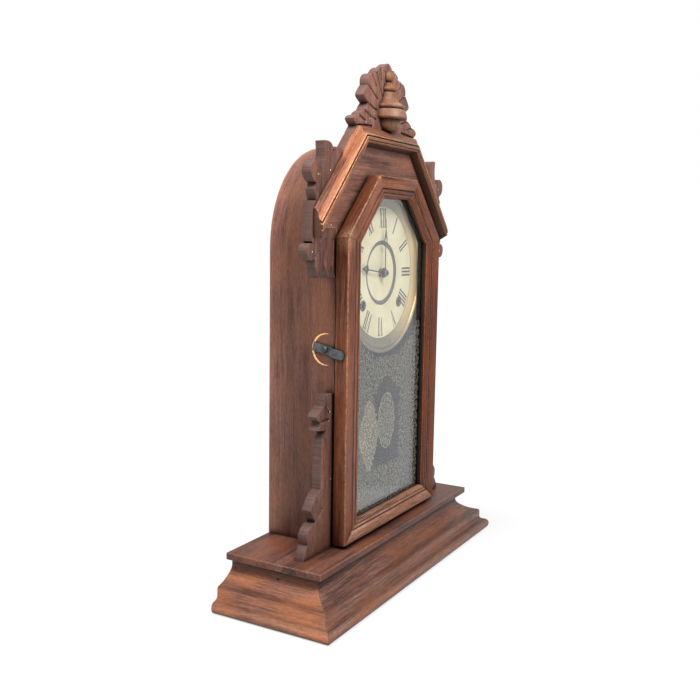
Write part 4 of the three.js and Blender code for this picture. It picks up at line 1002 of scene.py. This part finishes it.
def glyph(letter):
    # flat pieces of one Roman letter in (across, outwards), and its width
    low, high, thick, thin, serif = (numeralSet[k] for k in ("low", "high", "thick", "thin", "serif"))
    foot, top, middle = low + serif, high - serif, (low + high) / 2
    width = thick + 1.0 if letter == "I" else numeralSet["width"]
    if letter == "I":
        parts = [barBetween((width / 2, foot), (width / 2, top), thick)]
        serifs = [(0, width, low + serif), (0, width, high)]
    elif letter == "V":
        parts = [[(0.9, top), (0.9 + thick + 0.2, top), (3.6, low), (2.9, low)],
                 [(5.6, top), (5.6 + thin, top), (3.6, low), (3.35, low + 1.5)]]
        serifs = [(0, 3.2, high), (4.6, width, high)]
    else:
        half = thick / 2 + 0.15
        parts = [[(1.7 - half, top), (1.7 + half, top), (4.9 + half, foot), (4.9 - half, foot)],
                 barBetween((5.0, top), (3.95, middle + 1.9), thin),
                 barBetween((1.6, foot), (2.65, middle - 1.9), thin)]
        serifs = [(0, 3.2, high), (4.0, width, high), (0, 2.7, foot), (3.4, width, foot)]
    return parts + [barBetween((x0, z - serif / 2), (x1, z - serif / 2), serif) for x0, x1, z in serifs], width


def numeralShapes():
    shapes = []
    gap = numeralSet["gap"]
    for hour, word in enumerate(("XII", "I", "II", "III", "IIII", "V", "VI", "VII", "VIII", "IX", "X", "XI")):
        glyphs = [glyph(letter) for letter in word]
        c, s = math.cos(math.radians(30 * hour)), math.sin(math.radians(30 * hour))
        x = -(sum(width for parts, width in glyphs) + gap * (len(word) - 1)) / 2
        for parts, width in glyphs:
            for part in parts:
                shapes.append([((x + u) * c + v * s, dialSet["z"] - (x + u) * s + v * c) for u, v in part])
            x += width + gap
    return shapes


def wrapRing(bm, z):
    # UV in millimetres: distance round the ring, and from its centre
    layer = bm.loops.layers.uv.new("wrap")
    for face in bm.faces:
        middle = face.calc_center_median() / mm
        turn = math.atan2(middle.z - z, middle.x)
        for loop in face.loops:
            x, y, up = loop.vert.co / mm
            a = math.atan2(up - z, x)
            a += 2 * math.pi * round((turn - a) / (2 * math.pi))
            loop[layer].uv = (a * 70, math.hypot(x, up - z) + y)
    return bm


addPiece("numerals", platesFrom(numeralShapes(), -7.66, -7.6), "numeralInk", "case")
addPiece("dialRing", spunAt(ringCurve, 96), "ringInk", "case")
bm = wrapRing(spunAt(bezelCurve, 128), dialSet["z"])
addPiece("bezel", bm, "bezelBrass", "case", ["dial_bezel"], 40)
for side, word in ((-1, "left"), (1, "right")):
    bm = spunAt(grommetCurve, 40, side * dialSet["windX"], dialSet["windZ"])
    addPiece("grommet" + word.capitalize(), bm, "grommetBrass", "case",
             ["winding_grommet_" + word], 40)
addAsBuilt("minute_hand", "handSteel", "minute", sharp=30)
addAsBuilt("hour_hand", "handSteel", "hour", sharp=30)
addPiece("handNut", spunAt(nutCurve, 40), "nutSteel", "minute", ["hand_nut"], 40)

print("marks")
earNails = [(121.6, 381.6), (102.1, 386.2), (129.4, 316.7), (99.6, 339.4)]
bracketNails = [(98.2, 175.0), (99.6, 167.0), (95.1, 113.3)]
crestNails = [(-25.1, 443.1), (-33.6, 437.5), (-40.6, 433.6)]
stains = [((-156.1, -6.9, 45.1), (-1, 0, 0), 1.9), ((-149.6, 9.6, 32.6), (-1, 0, 0.35), 1.7),
          ((-175.4, -53.6, 1.7), (-1, 0, 0), 1.6), ((-128.6, -10.1, 69.5), (0, -1, 0), 0.8),
          ((-118.6, -10.1, 97.5), (0, -1, 0), 0.8)]
scratchSet = {"x": -91.27, "y": -1.8, "z": 229.7, "radius": 14.2, "half": 0.95, "steps": 40, "thick": 0.1}


def nailHead(place, axis, radius, rise):
    # low domed head; the axis points out of the wood
    curve = [(0, -0.3), (radius, -0.3), (radius, 0.02), (radius * 0.8, rise * 0.8),
             (radius * 0.45, rise), (0, rise * 1.05)]
    return spunFrom(curve, place, axis, Vector(axis).orthogonal().normalized(), 14)


def nailsAt(spots, radius, rise):
    return joined(*[nailHead((x, sawnSet["front"], z), (0, -1, 0), radius, rise) for x, z in spots])


def crescent():
    # where the latch has rubbed the case
    k = scratchSet
    bm = bmesh.new()
    rows = []
    for i in range(k["steps"] + 1):
        a = math.radians(82 + 196 * i / k["steps"])
        half = k["half"] * math.sin(math.pi * i / k["steps"]) ** 0.6 + 0.08
        rows.append([bm.verts.new(Vector((k["x"], k["y"] - r * math.cos(a), k["z"] + r * math.sin(a))) * mm)
                     for r in (k["radius"] + half, k["radius"] - half)])
    for a, b in zip(rows, rows[1:]):
        bm.faces.new((a[0], b[0], b[1], a[1]))
    return thickened(bm, bm.faces[:], (k["thick"], 0, 0))


nails = [(side * x, z) for side in (-1, 1) for x, z in earNails + bracketNails]
addPiece("ornamentNails", nailsAt(nails, 0.75, 0.22), "nailSteel", "case")
bm = joined(*[nailHead(place, axis, radius, 0.05) for place, axis, radius in stains])
addPiece("darkPlugs", bm, "blackHole", "case")
addPiece("crestNails", nailsAt(crestNails, 0.6, 0.2), "nailSteel", "case")
addPiece("latchScratch", crescent(), "rawWood", "case")

print("movement")
bobSet = {"z": 132.0, "y": 5.0, "half": 2.2, "slot": ((-1.1, 3.9, 165.7), (1.1, 6.1, 200))}
bobHalf = [
    (5, 35, 6, 31), (9, 30, 9.4, 25), (13, 22, 14, 17), (19.6, 12, 19.6, 2), (19.4, -9, 13.6, -14),
    (12.6, -20, 8, -24), (6.6, -31, 1.4, -35),
]
gongSet = {"z": 150.0, "inner": 6.0, "outer": 36.0, "wide": 2.0, "turns": 4, "y": 45.0, "steps": 72}
gongPost = outlinePoints([(0, 43.5), (7.4, 43.5), (8, 43.6, 8, 44.2), (8, 52.7), (0, 52.7)], 3)


def bobBody():
    k = bobSet
    right = [(x, z + k["z"]) for x, z in outlinePoints([(1.6, 36)] + bobHalf, 8)]
    outline = right + mirroredPoints(right[::-1])
    bm = carved(boardFrom(outline, k["y"] - k["half"], k["y"] + k["half"]), blockFrom(*k["slot"]))
    easeEdges(bm, 0.6, 3, sharp=50)
    # a sunk panel inside a raised border
    bm.normal_update()
    faces = [f for f in bm.faces if f.normal.y < -0.99 and f.calc_area() > 1e-4]
    bmesh.ops.inset_region(bm, faces=faces, thickness=1.3 * mm, depth=0)
    bmesh.ops.inset_region(bm, faces=faces, thickness=0.5 * mm, depth=-0.7 * mm)
    return outward(bm)


def onBob(x, z):
    up = abs(z - bobSet["z"]) / 34
    return up < 0.96 and abs(x) < 17.0 * math.sqrt(1 - up ** 1.6)


def gongCoil():
    # coil of square wire
    k = gongSet
    bm = bmesh.new()
    rows = []
    last = k["turns"] * k["steps"]
    for i in range(last + 1):
        a = 2 * math.pi * i / k["steps"]
        r = k["inner"] + (k["outer"] - k["inner"]) * i / last
        far = r + k["wide"]
        rows.append([bm.verts.new((q * math.cos(a) * mm, y * mm, (k["z"] + q * math.sin(a)) * mm))
                     for q, y in ((r, k["y"] - 1), (far, k["y"] - 1), (far, k["y"] + 1), (r, k["y"] + 1))])
    skinned(bm, rows)
    return easeEdges(outward(bm), 0.3, 1, sharp=60)


addPiece("pendulumBob", bobBody(), "bobBrass", "pendulum", ["pendulum_bob"])
lines = scrollField(onBob, (-17, 100, 17, 166), 5.0, 21)
bm = ribbonsFrom(lines, 1.25, bobSet["y"] - 1.5, 0.6, 8)
addPiece("bobChasing", bm, "bobPale", "pendulum")
bm = joined(gongCoil(), spunAt(gongPost, 48, 0, gongSet["z"]))
addPiece("gongCoil", bm, "gongIron", "case", ["gong"])
nodeLooks = {
    "movementBrass": "front_plate back_plate",
    "wheelBrass": "time_great_wheel strike_great_wheel centre_wheel third_wheel escape_wheel minute_wheel hour_wheel",
    "springSteel": "time_mainspring strike_mainspring verge",
    # painted shade: the winding arbors are dark steel so the winding holes show dark
    "darkSteel": "time_winding_arbor strike_winding_arbor pendulum_rod",
    "insideWalnutShaded": "movement_seat",
    "gongIron": "strike_hammer",
}
for material, names in nodeLooks.items():
    for node in names.split():
        slot = nodes[node].material_slots[0]
        slot.link, slot.material = "OBJECT", bpy.data.materials[material]

print("room")
cameraSet = {"place": (-0.7560, -0.4062, 0.3283), "turn": -60.22537, "tilt": 90 - 7.23060, "roll": 0.90627}
lampSet = (
    {"name": "window", "place": (-0.38, -0.80, 1.20), "size": 0.6, "power": 16.0},
    {"name": "sideSheet", "place": (-0.75, 0.12, 1.45), "size": 0.8, "power": 22.0},
)
roomSet = {"soft": 0.24, "mirrored": 0.13}  # strength of the room, and how much darker mirrors see it
tableSet = {
    "halfBase": (0.178, 0.060, 0), "veil": 0.13, "near": 0.62,  # the white rises from near to 1 over veil
    # glow is the white seen by the camera; mirrored, dim, ahead, from and to paint a reflection: brighter in mirrors
    # near the clock, dimmer beyond
    "glow": 1.04, "mirrored": 0.20, "dim": 0.29, "ahead": (0.86, -0.49, 0), "from": 0.28, "to": 0.31,
}


def addObject(name, data):
    made = bpy.data.objects.new(name, data)
    scene.collection.objects.link(made)
    return made


def raysIn(g):
    ray = g.node("LightPath", {})
    glossy = ray["Is Glossy Ray"]
    seen = g.calc("MAXIMUM", g.calc("MAXIMUM", ray["Is Camera Ray"], glossy), ray["Is Transmission Ray"])
    return seen, glossy


def roomWorld():
    g = Graph(bpy.data.worlds.new("room"))
    seen, glossy = raysIn(g)
    soft = g.node("Background", {"Color": grey(1), "Strength": roomSet["soft"]})[0]
    shaded = g.minus(1.0, g.times(glossy, roomSet["mirrored"]))
    white = g.node("Background", {"Color": grey(1), "Strength": shaded})[0]
    return g.shownAs(g.blended(seen, soft, white), "OutputWorld")


def tableTop():
    # near the clock the table keeps its shadow, further off it runs into the white backdrop
    k = tableSet
    g = newMaterial("table")
    seen, glossy = raysIn(g)
    place = g.place()
    beyond = g.vector("SUBTRACT", g.vector("ABSOLUTE", place), k["halfBase"])
    away = g.vector("LENGTH", g.vector("MAXIMUM", beyond), output="Value")
    share = g.levels(away, 0.0, k["veil"], 1.0, k["near"], "SMOOTHERSTEP")
    # painted reflection: glossy rays see the near table glow brighter and the far table dimmer, a bright veil at the
    # foot of the door glass
    ahead = g.vector("DOT_PRODUCT", place, k["ahead"], "Value")
    dimmer = g.times(g.levels(ahead, k["from"], k["to"], k["dim"]), glossy)
    glow = g.minus(g.plus(k["glow"], g.times(glossy, k["mirrored"])), dimmer)
    plain = g.node("BsdfDiffuse", {"Color": grey(0.82)})[0]
    bright = g.node("Emission", {"Color": grey(1), "Strength": glow})[0]
    return g.shownAs(g.blended(g.times(seen, share), plain, bright))


camera = addObject("camera", bpy.data.cameras.new("camera"))
camera.matrix_world = (
    Matrix.Translation(cameraSet["place"])
    @ Matrix.Rotation(math.radians(cameraSet["turn"]), 4, "Z")
    @ Matrix.Rotation(math.radians(cameraSet["tilt"]), 4, "X")
    @ Matrix.Rotation(math.radians(cameraSet["roll"]), 4, "Z")
)
camera.data.sensor_width, camera.data.lens, camera.data.clip_start = 36.0, 45.165, 0.01
scene.camera = camera
scene.view_settings.view_transform = "Standard"
scene.world = roomWorld()

for k in lampSet:
    light = bpy.data.lights.new(k["name"], "AREA")
    light.shape, light.size, light.energy = "DISK", k["size"], k["power"]
    lamp = addObject(k["name"], light)
    lamp.location = k["place"]
    lamp.rotation_euler = (Vector((0, 0, 0.22)) - Vector(k["place"])).to_track_quat("-Z", "Y").to_euler()

bm = bmesh.new()
bmesh.ops.create_grid(bm, x_segments=1, y_segments=1, size=6)
mesh = bpy.data.meshes.new("table")
bm.to_mesh(mesh)
bm.free()
mesh.materials.append(tableTop())
floor = addObject("table", mesh)
floor.location.z = cadBounds[0][2]
